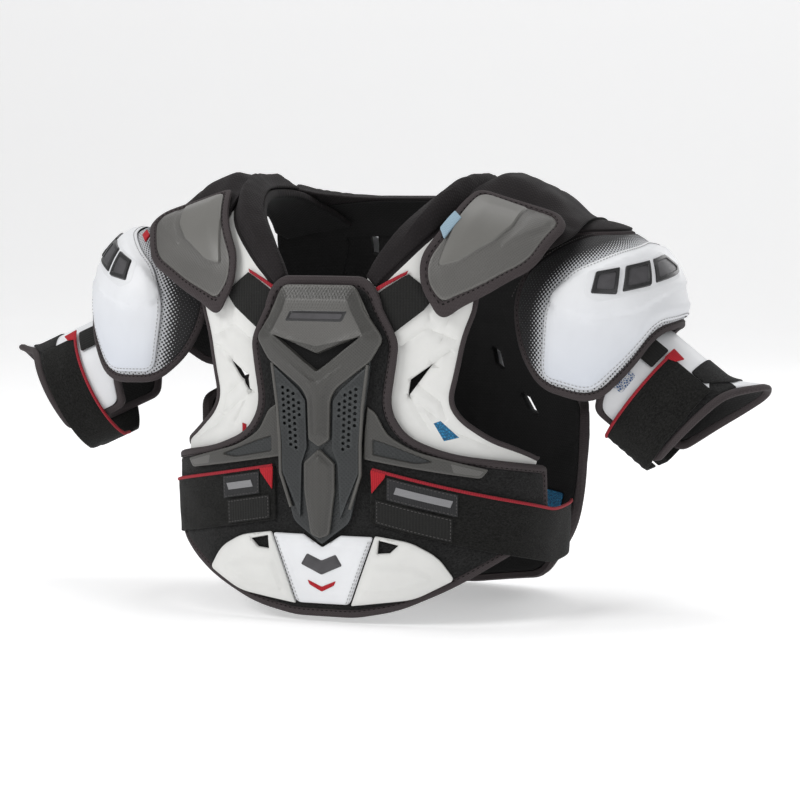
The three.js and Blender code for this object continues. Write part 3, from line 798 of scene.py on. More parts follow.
M_WHITE = white_hide("white_foam", (0.80, 0.81, 0.83))
# Painted shade: the cup plate's colour turns a darker blue-grey towards its lower part.
M_CUP = white_hide("white_cup", (0.80, 0.81, 0.83), shaded=(-62, 22, (0.60, 0.63, 0.69)))
M_CHEST = white_hide("white_chest", (0.74, 0.74, 0.72), rough=0.5)
M_GREY = moulded("grey_plastic", (0.135, 0.131, 0.124), (0.085, 0.083, 0.078), rough=0.45, metallic=0.1)
M_CAP = white_hide("grey_cap", (0.155, 0.152, 0.142), rough=0.40, grain=0.08)
M_SHIELD = moulded(
    "grey_shield", (0.070, 0.068, 0.063), (0.046, 0.045, 0.042), rough=0.42, metallic=0.15, lattice=3.0,
)
M_STEEL = moulded(
    "grey_plastic_dark", (0.030, 0.033, 0.034), (0.018, 0.020, 0.021), rough=0.42, metallic=0.15, lattice=4.0,
)
M_DEEP = knit("deep_recess", (0.012, 0.012, 0.012), rough=0.9)
M_PILE = pile("loop_fabric", (0.012, 0.012, 0.012))
M_BIND = knit("binding", (0.072, 0.060, 0.062), pitch=2.0, depth=0.25, rough=0.8, sheen=0.03, vary=0.2)
M_KNIT = knit("black_fabric", (0.026, 0.0225, 0.0235), pitch=2.6, depth=0.4, rough=0.85, sheen=0.03, vary=0.3)
M_LINER = knit("black_liner", (0.017, 0.0168, 0.017), pitch=3.2, depth=0.3, rough=0.75, sheen=0.02, vary=0.35)
M_WEB = webbing("webbing", (0.022, 0.022, 0.021))
M_STRAP = pile("strap_loop", (0.0085, 0.0085, 0.008))
M_RED = webbing("red_tape", (0.50, 0.028, 0.045), pitch=2.0)
M_WTHREAD = knit("white_thread", (0.60, 0.60, 0.61), pitch=0.9, depth=0.1, vary=0.1)
M_GTHREAD = knit("grey_thread", (0.12, 0.115, 0.115), pitch=0.9, depth=0.1, vary=0.1)
M_THREAD = knit("dark_thread", (0.014, 0.012, 0.012), pitch=0.9, depth=0.1, vary=0.1)
M_DOTS = halftone("halftone_fabric")
M_BLUE = honeycomb("blue_mesh", (0.010, 0.075, 0.16), (0.03, 0.30, 0.60))
M_PRINT = honeycomb("blue_print", (0.70, 0.71, 0.73), (0.05, 0.14, 0.36))
M_SKY = knit("pale_tag", (0.40, 0.56, 0.68), pitch=1.4, depth=0.15, rough=0.6, vary=0.15)
M_LABEL = webbing("label", (0.045, 0.045, 0.047), pitch=1.4)
M_MARK = knit("label_mark", (0.33, 0.33, 0.34), pitch=1.2, depth=0.15, rough=0.7, vary=0.15)
M_BADGE = gloss("badge_gloss", (0.018, 0.018, 0.019))
M_BADGE_FACE = gloss("badge_face", (0.055, 0.053, 0.057), 0.42)
M_TAB = webbing("red_tab", (0.62, 0.022, 0.035), pitch=1.8)


# ---- chest --------------------------------------------------------------------------------------
FRONT = symmetric([
    [38, 17, 6], [50, 10, 8], [69, -29, 12], [67, -48, 10], [61, -90, 16], [76, -115, 16], [112, -130, 16],
    [206, -146, 6], [212, -202, 12], [156, -229, 16], [114, -253, 16], [70, -273, 16], [30, -281, 10],
])


def within(outline):
    return inset(outline, BINDING - LAP)


def edging(name, form, outline, inner, outer, node, sewn=True):
    """A folded binding tape round an outline, with its row of stitches."""
    ring = [inset(rounded(outline), BINDING)]
    piece(
        name, form, outline, inner, outer, M_BIND, "binding", node=node, holes=ring, step=4,
        rim=(outer - inner) / 2, ridges=[(closed(inset(rounded(outline), 3.6)), 0.7, 3.0)],
    )
    if not sewn:
        return
    stitches(
        f"{name}_stitch", form, inset(rounded(outline), 6.1), outer + 0.15, M_THREAD, "binding", BODY[node],
        pitch=4.6, length=2.4, wide=0.5, thick=0.4,
    )


def closed(loop):
    return [*loop, loop[0]]


class Side:
    """Makes the pieces of one side. Names get the side's name, and outlines are drawn for the left."""

    def __init__(self, side, form, body="torso", flips=True):
        self.side, self.form, self.body = side, form, body
        self.turned = (lambda line: sided(side, line)) if flips else list

    def named(self, name):
        return f"{name}_{self.side}"

    def first_turned(self, rows):
        return [(self.turned(row[0]), *row[1:]) for row in rows]

    def piece(self, name, corners, inner, outer, mat, slot, node=None, holes=(), **more):
        for key in ("grooves", "ridges", "terraces", "inlays"):
            more[key] = self.first_turned(more.get(key, ()))
        place = dict(node=self.named(node)) if node else dict(body=self.body)
        piece(
            self.named(name), self.form, self.turned(corners), inner, outer, mat, slot,
            holes=[self.turned(h) for h in holes], **place, **more,
        )

    def edging(self, name, outline, inner, outer, node, sewn=True):
        edging(self.named(name), self.form, self.turned(outline), inner, outer, self.named(node), sewn)

    def tape(self, name, line, half, low, high, mat, slot, body=None):
        tape(self.named(name), self.form, self.turned(line), half, low, high, mat, body or self.body)

    def stitches(self, name, line, off, mat, slot, **more):
        stitches(self.named(name), self.form, self.turned(line), off, mat, slot, self.body, **more)


def front_panel():
    piece(
        "pad_front_panel", torso, within(FRONT), 12, 17.6, M_PILE, "loop_fabric", node="front_panel", step=6,
        back=M_LINER, pad=0.5, ripple=(1.0, 26, 26),
    )
    edging("tape_front_panel", torso, FRONT, 12, 17.6, "front_panel_binding")


SHIELD = symmetric([
    [34, 11, 6], [58, -27, 6], [47, -47, 4], [16, -72, 6], [11, -82, 4], [10, -118, 2], [1, -124, 1],
])
BASE = symmetric(
    [[30, 5, 3], [46, -30, 4], [46, -49, 4], [37, -122, 6], [37, -150, 6], [27, -193, 6], [1, -213, 2]],
)
TONGUE = symmetric([[1, -127, 1], [14.5, -139, 2], [14.5, -165, 3], [9, -204, 3], [1, -207, 1]])
SIDE_PLATE = [[43, -52], [36, -121], [36, -148], [19, -190], [17, -140], [12, -126], [13, -83], [19, -74]]


def perforations():
    """Holes in the side plate, in columns that follow its outer edge."""
    rows = []
    for column, (x, first, last) in enumerate([(33, 0, 7), (28.2, 0, 10), (23.4, 1, 11), (18.6, 2, 5)]):
        for k in range(first, last):
            w = -72 - k * 5.4 - (column % 2) * 2.7
            shift = (w + 72) * 0.045
            rows.append((x + shift + 1.2, w))
    return [
        [[x + 1.45 * math.cos(a), w + 1.45 * math.sin(a)] for a in np.linspace(0, 2 * math.pi, 9)[:-1]]
        for x, w in rows
    ]


def sternum_guard():
    piece(
        "plate_sternum_base", torso, BASE, ON_PANEL, 22, M_STEEL, "grey_plastic_dark", node="sternum_base",
        step=6, rim=1.2,
    )
    visor = [[-43, -22, 1], [0, -40, 2], [43, -22, 1], [12, -48, 1], [0, -57, 2], [-12, -48, 1]]
    brow = symmetric([[30, 6, 3], [46, -26, 3], [1, -36, 2]])
    chin = [
        [40, -39, 2], [13, -62, 3], [7, -77, 2], [6, -114, 1], [-6, -114, 1], [-7, -77, 2], [-13, -62, 3],
        [-40, -39, 2], [0, -66, 3],
    ]
    badge = [[-29, -12, 2], [-24, -2, 2], [29, -2, 2], [24, -12, 2]]
    piece(
        "plate_sternum_shield", torso, SHIELD, ON_BASE, 27, M_SHIELD, "grey_plastic", node="sternum_shield",
        step=2.6, rim=1.6, crown=3.6, crown_width=13,
        terraces=[(visor, -4.2, 1.2), (brow, 1.2, 2.6), (chin, 1.4, 2.0)],
        # Painted highlight: the brow's top facet is inlaid with the lighter grey plastic.
        inlays=[(inset(visor, 1.0), M_DEEP), (inset(brow, 2.4), M_GREY)],
        ridges=[
            ([[-47, -19], [0, -37.5], [47, -19]], 1.5, 2.0),
            ([[-42, -27], [-12, -51], [0, -60.5], [12, -51], [42, -27]], 1.1, 1.8),
        ],
    )
    piece(
        "plate_sternum_mark", torso, badge, 30.0, 32.0, M_BADGE, "badge_gloss", body="torso", step=3, rim=0.8,
        terraces=[(inset(badge, 2.2), 0.5, 0.6)], inlays=[(inset(badge, 2.6), M_BADGE_FACE)],
    )
    piece(
        "plate_sternum_lower", torso, TONGUE, ON_BASE, 27, M_SHIELD, "grey_plastic",
        node="sternum_lower_plate", step=2.6, rim=1.4, crown=1.6, crown_width=8,
        terraces=[(inset(TONGUE, 3.6), 0.9, 1.0)], ridges=[([[0, -129], [0, -206]], 0.8, 1.4)],
    )
    for side in SIDES:
        on = Side(side, torso)
        on.piece(
            "plate_sternum_side", SIDE_PLATE, ON_BASE, 25.2, M_STEEL, "grey_plastic_dark",
            node="sternum_side_plate", step=3, rim=0.9, holes=perforations(), least=1.5,
        )
        rail = [[44, -50], [39.5, -88], [37.5, -121], [37.5, -149], [28, -180]]
        on.tape("plate_sternum_rail", rail, 1.5, 22.0, 26.4, M_SHIELD, "grey_plastic")


def belly_pad():
    centre = symmetric([[48, -205, 3], [26, -268, 5]]) + [
        [-18, -205, 1], [-1, -216, 1], [1, -216, 1], [18, -205, 1],
    ]
    piece(
        "pad_belly_center", torso, centre, ON_PANEL, 22.2, M_WHITE, "white_foam", node="belly_pad_center",
        step=4, crown=1.6, crown_width=9, pad=0.7,
        terraces=[(inset(symmetric([[42, -211, 3], [23, -263, 4]]), 1.0), -0.7, 1.2)],
    )
    mark = [
        [-20, -232, 1.5], [-14, -222, 1.5], [0, -228, 1.5], [14, -222, 1.5], [20, -232, 1.5], [0, -241, 1.5],
    ]
    piece(
        "mark_belly", torso, mark, 22.4, 24.0, M_BADGE_FACE, "badge_gloss", body="torso", step=3, rim=0.6,
        terraces=[(inset(mark, 1.4), 0.4, 0.6)],
    )
    lower = [
        [-14, -246, 1.2], [0, -252, 1.2], [14, -246, 1.2], [12, -250.5, 1.2], [0, -256.5, 1.2],
        [-12, -250.5, 1.2],
    ]
    piece("mark_belly_red", torso, lower, 22.2, 23.8, M_TAB, "red_tab", body="torso", step=3, rim=0.5)
    wrap = [[49.5, -204], [80, -209, 8], [103, -222, 10], [117, -243, 5], [84, -261, 10], [27, -269]]
    window = [[53, -208], [70, -212], [63, -219], [52, -220]]
    raised = [[48, -231], [76, -231, 6], [95, -237, 6], [98, -243, 4], [78, -253, 8], [38, -259]]
    for side in SIDES:
        Side(side, torso).piece(
            "pad_belly", wrap, ON_PANEL, 22.2, M_CHEST, "white_foam", node="belly_pad", holes=[window],
            step=4, crown=1.2, crown_width=10, pad=0.6, least=2.0, terraces=[(raised, 1.3, 2.6)],
        )
        for k, x in enumerate((44.6, 46.8)):
            stitches(
                f"belly_stitch_{side}_{k}", torso, sided(side, [[x, -208], [x - 21.5, -267]]), 22.9,
                M_WTHREAD, "white_foam", "torso", pitch=3.6, length=2.3, closed=False,
            )


COLLAR_LINE = spline([[43, 14], [50, 23], [67, 44], [90, 80], [106, 132], [108, 152], [104, 176]], 32)
COLLAR_WIDTHS = 5.5 + 8.5 * smooth(np.arange(33) / 18)


def vest_outline():
    inner = band(COLLAR_LINE, COLLAR_WIDTHS)[33:][::-1]
    armhole = [
        [138, 236, 2], [138, 40, 20], [134, 2, 14], [123, -26, 14], [117, -58, 14], [111, -84, 12],
        [121, -101, 12], [148, -120, 14], [178, -131, 10], [205, -141, 4],
    ]
    hem = [[196, -158, 4], [60, -166], [38, -160], [38, 8]]
    return [[62, 240], [128, 246], *armhole, *hem, *inner, [84, 205]], armhole


def chest_side(side):
    on = Side(side, torso)
    vest, armhole = vest_outline()
    lip = band(COLLAR_LINE, COLLAR_WIDTHS + 4)
    creases = [
        ([[97, -50], [112, -38]], 1.6), ([[78, -64], [104, -84], [109, -100]], 1.6),
        ([[76, -79], [96, -112]], 1.4), ([[76, -79], [118, -112], [150, -126]], 1.5),
        ([[70, -34], [92, -18], [116, -28]], 1.3), ([[104, 40], [92, 6], [96, -18]], 1.2),
        ([[120, 30], [112, -4], [104, -30]], 1.1),
    ]
    patches = [([[30, 88], [160, 88], [160, 260], [30, 260]], M_KNIT), (lip, M_KNIT)]
    if side == "left":
        patches.append(([[98, -103], [104, -101], [120, -116], [107, -119]], M_BLUE))
    on.piece(
        "pad_vest", vest, 0, 8.2, M_CHEST, "white_foam", node="vest",
        holes=[[[97, -50], [78, -64], [76, -79]]], step=5, back=M_LINER, pad=0.5, crown=0.8, crown_width=14,
        grooves=[(seam, depth * 1.4, 1.6) for seam, depth in creases], ripple=(0.5, 22, 22), inlays=patches,
        wall=M_KNIT,
    )
    if side == "right":
        tag = [[80, -109], [84, -108], [84, -118], [80, -117]]
        on.piece("tag_vest", tag, 8.6, 9.6, M_TAB, "label", step=2, rim=0.3)
    line = rounded([[140, 60], *armhole[2:]])[1:-1]
    on.tape("piping_vest", line[:: PLUS[side]], 3.0, 0.2, 9.8, M_BIND, "binding")
    elastic = [[44, 4], [76, 20], [99, 6], [64, -22]]
    on.piece(
        "strap_chest_elastic", elastic, ON_VEST, 11.3, M_WEB, "webbing", node="chest_elastic", step=4,
        rim=0.7, grooves=[([[60, 12], [79, -9]], 0.6, 1.0), ([[68, 16], [88, -2]], 0.6, 1.0)],
    )
    on.piece(
        "piping_chest_red", [[46, 6.5], [74, 19.5], [75.5, 22.5], [46, 9.5]], ON_VEST, 12.2, M_RED, "red_tab",
        step=3, rim=0.8,
    )
    collar = band(COLLAR_LINE, COLLAR_WIDTHS)
    on.piece(
        "pad_collar", collar, 9.4, 12, M_KNIT, "black_fabric", node="collar", crown=lambda u,
        w: 3 + 11 * smooth((w - 20) / 70), crown_width=13, step=3.5, pad=0.8, rim=1.2, ripple=(1.6, 14, 9),
        ridges=[(closed(inset(collar, 2.6)), 0.8, 1.6)],
    )
    wing = [
        [43, -88], [50, -93, 3], [60, -113, 8], [82, -127, 12], [142, -144, 2], [136, -152, 3],
        [84, -143, 12], [39.5, -135, 2], [40.5, -112],
    ]
    hollow = [[47, -116, 2], [62, -121, 4], [100, -136.5, 2], [84, -138.5, 4], [47, -131, 2]]
    tip = [[112, -138, 1], [138, -145.5, 1], [134, -149.5, 2], [114, -146, 1]]
    on.piece(
        "plate_wing", wing, ON_PANEL, 21.6, M_SHIELD, "grey_plastic", node="wing", step=2.6, rim=1.1,
        # Painted shade and highlight: the recessed hollow is inlaid with darker plastic and the pointed tip
        # with lighter plastic.
        terraces=[(hollow, -1.8, 1.2)], inlays=[(inset(hollow, 0.9), M_STEEL), (tip, M_GREY)],
    )


# ---- straps -------------------------------------------------------------------------------------
STRAP_START, STRAP_BEND, STRAP_HEIGHT = 45, 215, -168
STRAP_SLOPE = {"right": 0.19, "left": 0.257}
STRAP_END = {"right": (279, 290.5), "left": (283, 297)}
LABEL_END = {"right": 97, "left": 118}


def body_strap(side):
    on = Side(side, belt, BODY[f"body_strap_{side}"])

    def drop(u):
        return STRAP_HEIGHT - STRAP_SLOPE[side] * (min(u, STRAP_BEND) - STRAP_START)

    def strip(start, end, top, low):
        return [
            [start, drop(start) + top], [end, drop(end) + top], [end, drop(end) - low],
            [start, drop(start) - low],
        ]

    top_end, low_end = STRAP_END[side]
    low = drop(STRAP_BEND)
    web = [
        [STRAP_START, drop(STRAP_START) + 25, 3], [STRAP_BEND, low + 25, 12], [top_end, low + 25],
        [low_end, low - 25], [STRAP_BEND, low - 25, 12], [STRAP_START, drop(STRAP_START) - 25, 3],
    ]
    on.piece(
        "strap_body", web, 18.5, 20.8, M_STRAP, "webbing", node="body_strap", step=5, rim=1.0,
        grooves=[([[x, drop(x) + 24], [x, drop(x) - 24]], 0.35, 0.9) for x in (98, 104, 150)],
        ripple=(0.9, 30, 20),
    )
    start = STRAP_START + 2
    edge = rounded([[start, drop(start) + 24.6], [STRAP_BEND, low + 24.6, 12], [top_end, low + 24.6]])
    on.tape("piping_strap_red", edge, 1.5, 19.0, 22.2, M_RED, "red_tab")
    end = LABEL_END[side]
    label = strip(60, end, 21, -1)
    on.piece("tag_strap_label", label, ON_STRAP, 22.3, M_LABEL, "label", node="strap_label", step=3, rim=0.36)
    bars = [[x + lean, w] for (x, w), lean in zip(strip(66, end - 6, 14, -8), (2, 2, 0, 0))]
    on.piece("tag_strap_bar", bars, 22.3, 22.8, M_MARK, "label", step=3, rim=0.0)
    fine = dict(pitch=3.2, wide=0.35, thick=0.25)
    on.stitches("strap_label_stitch", inset(label, 1.3), 22.35, M_GTHREAD, "label", length=2.0, **fine)
    tab = [[46, drop(46) + 24, 1], [59, drop(59) + 24, 1], [58, drop(58) + 20, 1], [47, drop(47) + 3, 1]]
    on.piece(
        "tag_strap_pull", tab, ON_STRAP, 22.8, M_TAB, "red_tab", node="strap_pull_tab", step=2.5, rim=0.4,
    )
    hooks = strip(50, end - 4, -1.5, 23)
    on.piece(
        "strap_hook_pad", hooks, ON_STRAP, 22.3, M_WEB, "webbing", node="strap_hook_pad", step=3, rim=0.36,
    )
    hem = strip(51.5, end - 5.5, -3, 21.5)
    on.stitches("strap_hook_stitch", hem, 22.4, M_GTHREAD, "webbing", length=2.1, **fine)


# ---- back ---------------------------------------------------------------------------------------
BACK = symmetric([
    [62, 237], [106, 240, 14], [132, 266, 14], [134, 330, 16], [156, 376, 18], [216, 398, 12],
    [217, 446, 14], [186, 514, 18], [140, 572, 14], [60, 584, 10],
])


def quilt(points, channels):
    depth = np.zeros(len(points))
    for line in channels:
        depth = np.maximum(depth, 1.8 * np.exp(-((distance_to(points, line) / 3.4) ** 2)))
    return depth


def back():
    vents = [
        [[40, 247], [47, 246], [48, 272], [42, 274]], [[76, 350], [83, 354], [88, 371], [80, 366]],
        [[108, 394], [117, 398], [128, 414], [117, 409]],
    ]
    channels = [
        [[-60, 250], [-56, 420], [-90, 560]], [[60, 250], [56, 420], [90, 560]],
        [[-200, 430], [-110, 470], [0, 478], [110, 470], [200, 430]], [[-120, 330], [0, 320], [120, 330]],
    ]
    piece(
        "pad_back_panel", rear, within(BACK), 9.6, 20.4, M_LINER, "black_liner", node="back_panel", step=7,
        holes=[[[sign * u, w] for u, w in vent] for sign in (-1, 1) for vent in vents], pad=0.6, rim=3.0,
        ripple=(2.6, 34, 34), grooves=[(c, 1.6, 3.2) for c in channels], bottom=lambda u,
        w: quilt(np.stack([u, w], 1), channels),
    )
    edging("tape_back_panel", rear, BACK, 9.6, 20.4, "back_panel_binding", sewn=False)
    neck_line = spline([[-103, 182], [-86, 204], [-50, 219], [0, 223], [50, 219], [86, 204], [103, 182]], 40)
    piece(
        "pad_collar_back", torso, band(neck_line, 10), 9.4, 12, M_KNIT, "black_fabric", node="collar_back",
        crown=10, crown_width=10, step=4, pad=0.8, rim=1.2,
    )
    lining = dict(inner=7.6, outer=9.0, mat=M_LINER, slot="black_liner", step=6, rim=0.6, pad=0.4)
    bridge = symmetric([[96, 214, 6], [104, 252, 6], [60, 256]])
    piece("lining_neck", rear, bridge, body="torso", **lining)
    mesh = [[132, 484, 2], [171, 486, 2], [163, 508, 2], [142, 519, 2]]
    piece("patch_back_mesh", rear, mesh, 7.4, 8.8, M_BLUE, "black_liner", body="torso", step=4, rim=0.4)
    spine = symmetric([[26, 290, 8], [34, 330, 8], [30, 430, 8], [20, 500, 8]])
    bones = [[[-30, w], [0, w + 8], [30, w]] for w in range(318, 500, 28)]
    piece(
        "plate_spine", rear, spine, ON_BACK, 28.5, M_SHIELD, "grey_plastic", node="spine_guard", step=3.5,
        rim=2.0, crown=3, grooves=[(b, 2.6, 2.4) for b in bones], ridges=[([[0, 292], [0, 498]], 1.2, 3.0)],
    )
    lumbar = symmetric([[24, 508, 8], [120, 500, 14], [146, 540, 14], [120, 568, 12], [60, 574, 8]])
    piece(
        "pad_back_lumbar", rear, lumbar, ON_BACK, 25.2, M_WHITE, "white_foam", node="back_lumbar_pad", step=5,
        crown=1.6, crown_width=12, pad=0.7,
        grooves=[([[s * 60, 506], [s * 50, 572]], 1.2, 2.4) for s in (-1, 1)],
    )
    shoulder_lining = [
        [84, 196], [124, 196, 8], [138, 246, 10], [140, 290, 12], [136, 350, 12], [100, 350], [70, 262],
    ]
    blade = [[40, 262, 8], [88, 252, 14], [122, 270, 14], [124, 332, 14], [116, 376, 14], [42, 392, 8]]
    for side in SIDES:
        on = Side(side, rear)
        on.piece("lining_shoulder", shoulder_lining, **lining)
        on.piece(
            "pad_back_shell", blade, ON_BACK, 25.2, M_WHITE, "white_foam", node="back_shell", step=4, crown=3,
            pad=0.7, terraces=[(inset(blade, 14), 1.4, 3.0)],
            grooves=[([[44, 328], [80, 320], [120, 326]], 1.2, 2.2)],
        )


# ---- shoulders ----------------------------------------------------------------------------------
def shoulder(side):
    def swell(u, w):
        fall = smooth((206 - np.abs(u)) / 56)
        return (2 + 13 * fall) * smooth((w + 44) / 30)

    def sink(u, w):
        return -4.2 * smooth((np.abs(u) - 172) / 38)

    on = Side(side, yoke, f"clavicle_{side}")
    cover = [
        [113, -106], [190, -92, 14], [212, -62, 16], [214, 0, 20], [212, 40, 16], [180, 66, 14], [113, 66, 6],
    ]
    on.piece(
        "pad_yoke", cover, 3, 8.4, M_KNIT, "black_fabric", node="shoulder_yoke", crown=swell, crown_width=24,
        step=4, pad=0.8, back=M_LINER, lift=sink, ripple=(2.6, 24, 16),
        grooves=[([[168, -36], [170, 10], [166, 62]], 1.1, 2.2)],
    )
    cap = [
        [122, -41, 10], [196, -45, 12], [206, -62, 10], [187, -112, 14], [146, -139, 14], [108, -155, 8],
        [90, -140, 10], [88, -120, 10], [106, -90, 16],
    ]
    facet = [
        [120, -46, 6], [170, -52, 4], [164, -80, 3], [152, -97, 4], [124, -119, 4], [104, -126, 6],
        [112, -96, 8],
    ]
    brow = [[176, -52, 4], [196, -56, 8], [190, -74, 6], [158, -104, 5], [156, -98, 3], [168, -80, 3]]
    on.piece(
        "plate_clavicle", within(cap), 9.6, 14.2, M_GREY, "grey_plastic", node="clavicle_cap", crown=2.2,
        crown_width=16, step=2.6, rim=1.4, terraces=[(facet, 2.2, 1.8), (brow, 1.3, 3.0)],
        inlays=[(inset(facet, 0.9), M_CAP)],
    )
    on.edging("tape_clavicle", cap, 9.6, 15, "clavicle_cap_binding")
    if side == "left":
        tag = [[103, -96, 1], [112, -78, 1], [119, -83, 1], [108, -104, 1]]
        on.piece("tag_cap", tag, 15.4, 17.4, M_SKY, "label", step=2.5, rim=0.5)
    else:
        tag = [[199, -79, 1], [206, -70, 1], [209, -76, 1], [202, -86, 1]]
        on.piece("tag_cap", tag, 12.0, 14.6, M_TAB, "red_tab", step=2.0, rim=0.4)


CUP_OUTLINE = [
    [-192, 100, 6], [-205, 40, 20], [-206, 0, 16], [-196, -34, 16], [-172, -64, 16], [-112, -78, 24],
    [-76, -48, 18], [-46, -15, 20], [8, -10, 20], [60, -18, 16], [100, -52, 18], [150, -68, 22],
    [190, -44, 16], [205, 0, 16], [205, 40, 20], [192, 100, 6],
]
CUP_PLATE = [
    [-166, -54, 12], [-160, 14, 16], [-138, 44, 14], [-86, 64, 20], [-17, 76, 10], [40, 70, 14], [84, 30, 16],
    [84, -24, 10], [56, -6, 10], [8, 0, 14], [-50, -4, 14], [-82, -36, 14], [-116, -66, 14],
]
CUP_CORNERS = [[-210, 16], [-200, 34], [-184, 54], [-162, 72], [-132, 86], [-92, 95], [-52, 98]]
CUP_SEAM = spline(CUP_CORNERS, 40)
CUP_TOP = [*CUP_CORNERS, [-52, 140], [-215, 140]]


def inset_line(line, distance):
    """A line moved sideways, away from the middle of the cup's front."""
    return [list(p) for p in np.array(band(line, -distance))[: len(line)]]


def plate_distance(flat):
    edge = rounded(CUP_PLATE)
    away = distance_to(flat, edge, True)
    return np.where(inside(flat, edge), -away, away)


def cup(side):
    on = Side(side, CUPS[side], f"cup_{side}", flips=False)
    pad = [
        [-184, 96], [-190, 0, 16], [-176, -44, 16], [-120, -50, 18], [-70, -8, 16], [-40, 12, 10],
        [60, 12, 10], [110, -20, 16], [176, -36, 16], [190, 0, 16], [184, 96],
    ]
    on.piece(
        "pad_cup_liner", pad, -13, -6.4, M_LINER, "black_liner", node="cup_liner", step=7, pad=0.7,
        bottom=lambda u, w: 1.6 * (1 - np.abs(np.sin(u / 24)) ** 0.5),
    )
    on.piece(
        "shell_cup", within(CUP_OUTLINE), -5, -0.6, M_DOTS, "halftone_fabric", node="cup_shell", step=5,
        back=M_LINER, pad=0.5, tone=plate_distance, grooves=[(CUP_SEAM, 0.9, 1.4)],
        inlays=[(CUP_TOP, M_KNIT)], wall=M_LINER,
    )
    on.edging("tape_cup", CUP_OUTLINE, -5, -0.4, "cup_binding")
    cover = [[-204, 88, 6], [-120, 96], [-40, 97], [60, 97], [204, 90, 6], [204, 130], [-204, 130]]
    on.piece("pad_cup_top", cover, -0.2, 2.6, M_KNIT, "black_fabric", step=5, rim=1.2, pad=0.5, back=M_LINER)
    on.stitches(
        "cup_seam_stitch", inset_line(CUP_SEAM, 2.5), -0.4, M_GTHREAD, "halftone_fabric", pitch=3.4,
        length=2.2, closed=False,
    )
    upper = [
        [-160, 22, 6], [-150, 6, 4], [-118, -1, 8], [-72, 6, 10], [-56, 14, 8], [-20, 24, 8], [40, 26, 8],
        [76, 18, 6], [76, 28, 8], [38, 64, 10], [-17, 70, 10], [-86, 58, 14], [-132, 40, 10],
    ]
    on.piece(
        "pad_cup_plate", CUP_PLATE, 0.2, 2.6, M_CUP, "white_foam", node="cup_plate", step=4, crown=1.6,
        crown_width=10, pad=0.7, back=M_LINER, sharp=50, terraces=[(upper, 2.4, 2.6)],
        ridges=[(spline([[-118, -56], [-84, -26], [-52, 4], [8, 9], [56, 3], [80, -12]], 30), 1.4, 2.4)],
    )
    on.stitches(
        "cup_plate_stitch", inset(rounded(CUP_PLATE), 2.6), 3.25, M_WTHREAD, "white_foam", pitch=3.8,
        length=2.4,
    )
    badge = [[-124, 22, 4], [-120, 42, 4], [-20, 60, 4], [2, 44, 4], [-6, 34, 4], [-112, 14, 4]]
    blocks = [
        [[-117, 22, 2], [-112, 41, 2], [-87, 45, 2], [-93, 21, 2]],
        [[-88, 23, 2], [-81, 46, 2], [-50, 51, 2], [-57, 28, 2]],
        [[-51, 30, 2], [-44, 52, 2], [-21, 56, 2], [-2, 44, 2], [-9, 37, 2]],
    ]
    on.piece(
        "plate_cup_badge", badge, 5.0, 6.8, M_CUP, "badge_gloss", node="cup_badge", step=2.6, rim=0.8,
        terraces=[(block, 2.0, 0.8) for block in blocks] + [
            (inset(block, 3.4), -1.0, 0.6) for block in blocks
        ],
        inlays=[(block, M_BADGE) for block in blocks] + [
            (inset(block, 4.0), M_BADGE_FACE) for block in blocks
        ],
    )


# ---- upper arms ---------------------------------------------------------------------------------
def guard_outline(place):
    tip, front = place["at"], place["front"]
    return [
        [127, -38, 10], [66, -58, 20], [-90, -58, 16], [-127, -44, 10], [-127, 36, 12], [tip - 46, 50, 16],
        [tip - 6, 68, 10], [tip + 22, 66, 12], [tip + 60, front + 8, 20], [84, front + 2, 18],
        [127, front - 2, 12],
    ]


def rectangle(u0, u1, w0, w1, radius=0):
    return [[u0, w0, radius], [u1, w0, radius], [u1, w1, radius], [u0, w1, radius]]


def upper_arm(side):
    on = Side(side, GUARDS[side], f"bicep_guard_{side}", flips=False)
    place = GUARD_AT[side]
    outline = guard_outline(place)
    tip, edge = place["at"], place["strap"]
    front_pile = [[128, edge - 3], [36, edge - 3], [22, 20], [tip + 44, 40], [tip + 58, 80], [128, 60]]
    on.piece(
        "shell_bicep", within(outline), -3.2, 1.5, M_WHITE, "white_foam", node="bicep_guard", step=5,
        back=M_LINER, pad=0.6, grooves=[([[60, -50], [20, -38], [-60, -40]], 0.8, 2.0)],
        inlays=[(front_pile, M_PILE)], wall=M_BIND,
    )
    on.edging("tape_bicep", outline, -3.4, 1.6, "bicep_guard_binding", sewn=False)
    on.piece(
        "strap_bicep_tab", rectangle(34, 58, -56, -20, 2), ON_GUARD, 4.8, M_WEB, "webbing", node="bicep_tab",
        step=4, rim=0.8,
    )
    strap = rectangle(38, 172, -16, edge, 2)
    on.piece(
        "strap_bicep", strap, ON_GUARD, 5.1, M_STRAP, "webbing", node="bicep_strap", step=5, rim=1.0,
        ripple=(0.8, 24, 18), grooves=[([[u, -15], [u, edge - 1]], 0.4, 1.0) for u in (46, 52)],
    )
    on.tape(
        "piping_bicep_red", [[39, -16], [172, -16]], 1.5, 3.2, 6.6, M_RED, "red_tab", f"bicep_strap_{side}",
    )
    on.piece(
        "strap_bicep_anchor", rectangle(-173, -112, -16, edge, 2), ON_GUARD, 5.1, M_STRAP, "webbing",
        node="bicep_strap_anchor", step=5, rim=1.0,
    )
    if side == "left":
        patch = rectangle(72, 92, -40, -26, 3)
        on.piece("tag_bicep_print", patch, 1.6, 2.3, M_PRINT, "white_foam", step=3, rim=0.0)
    loop = [[36, 8, 3], [36, 24, 3], [tip + 40, 42, 8], [tip + 6, 44, 8], [tip - 20, 26, 8], [tip - 10, 8, 6]]
    on.piece("patch_bicep_loop", loop, 1.7, 3.0, M_PILE, "loop_fabric", step=4, rim=0.6)
    tab = [[30, -18, 1], [44, -18, 1], [40, -8, 1], [32, -4, 1]]
    on.piece("tag_bicep_red", tab, 5.2, 6.4, M_TAB, "red_tab", step=2.5, rim=0.4)


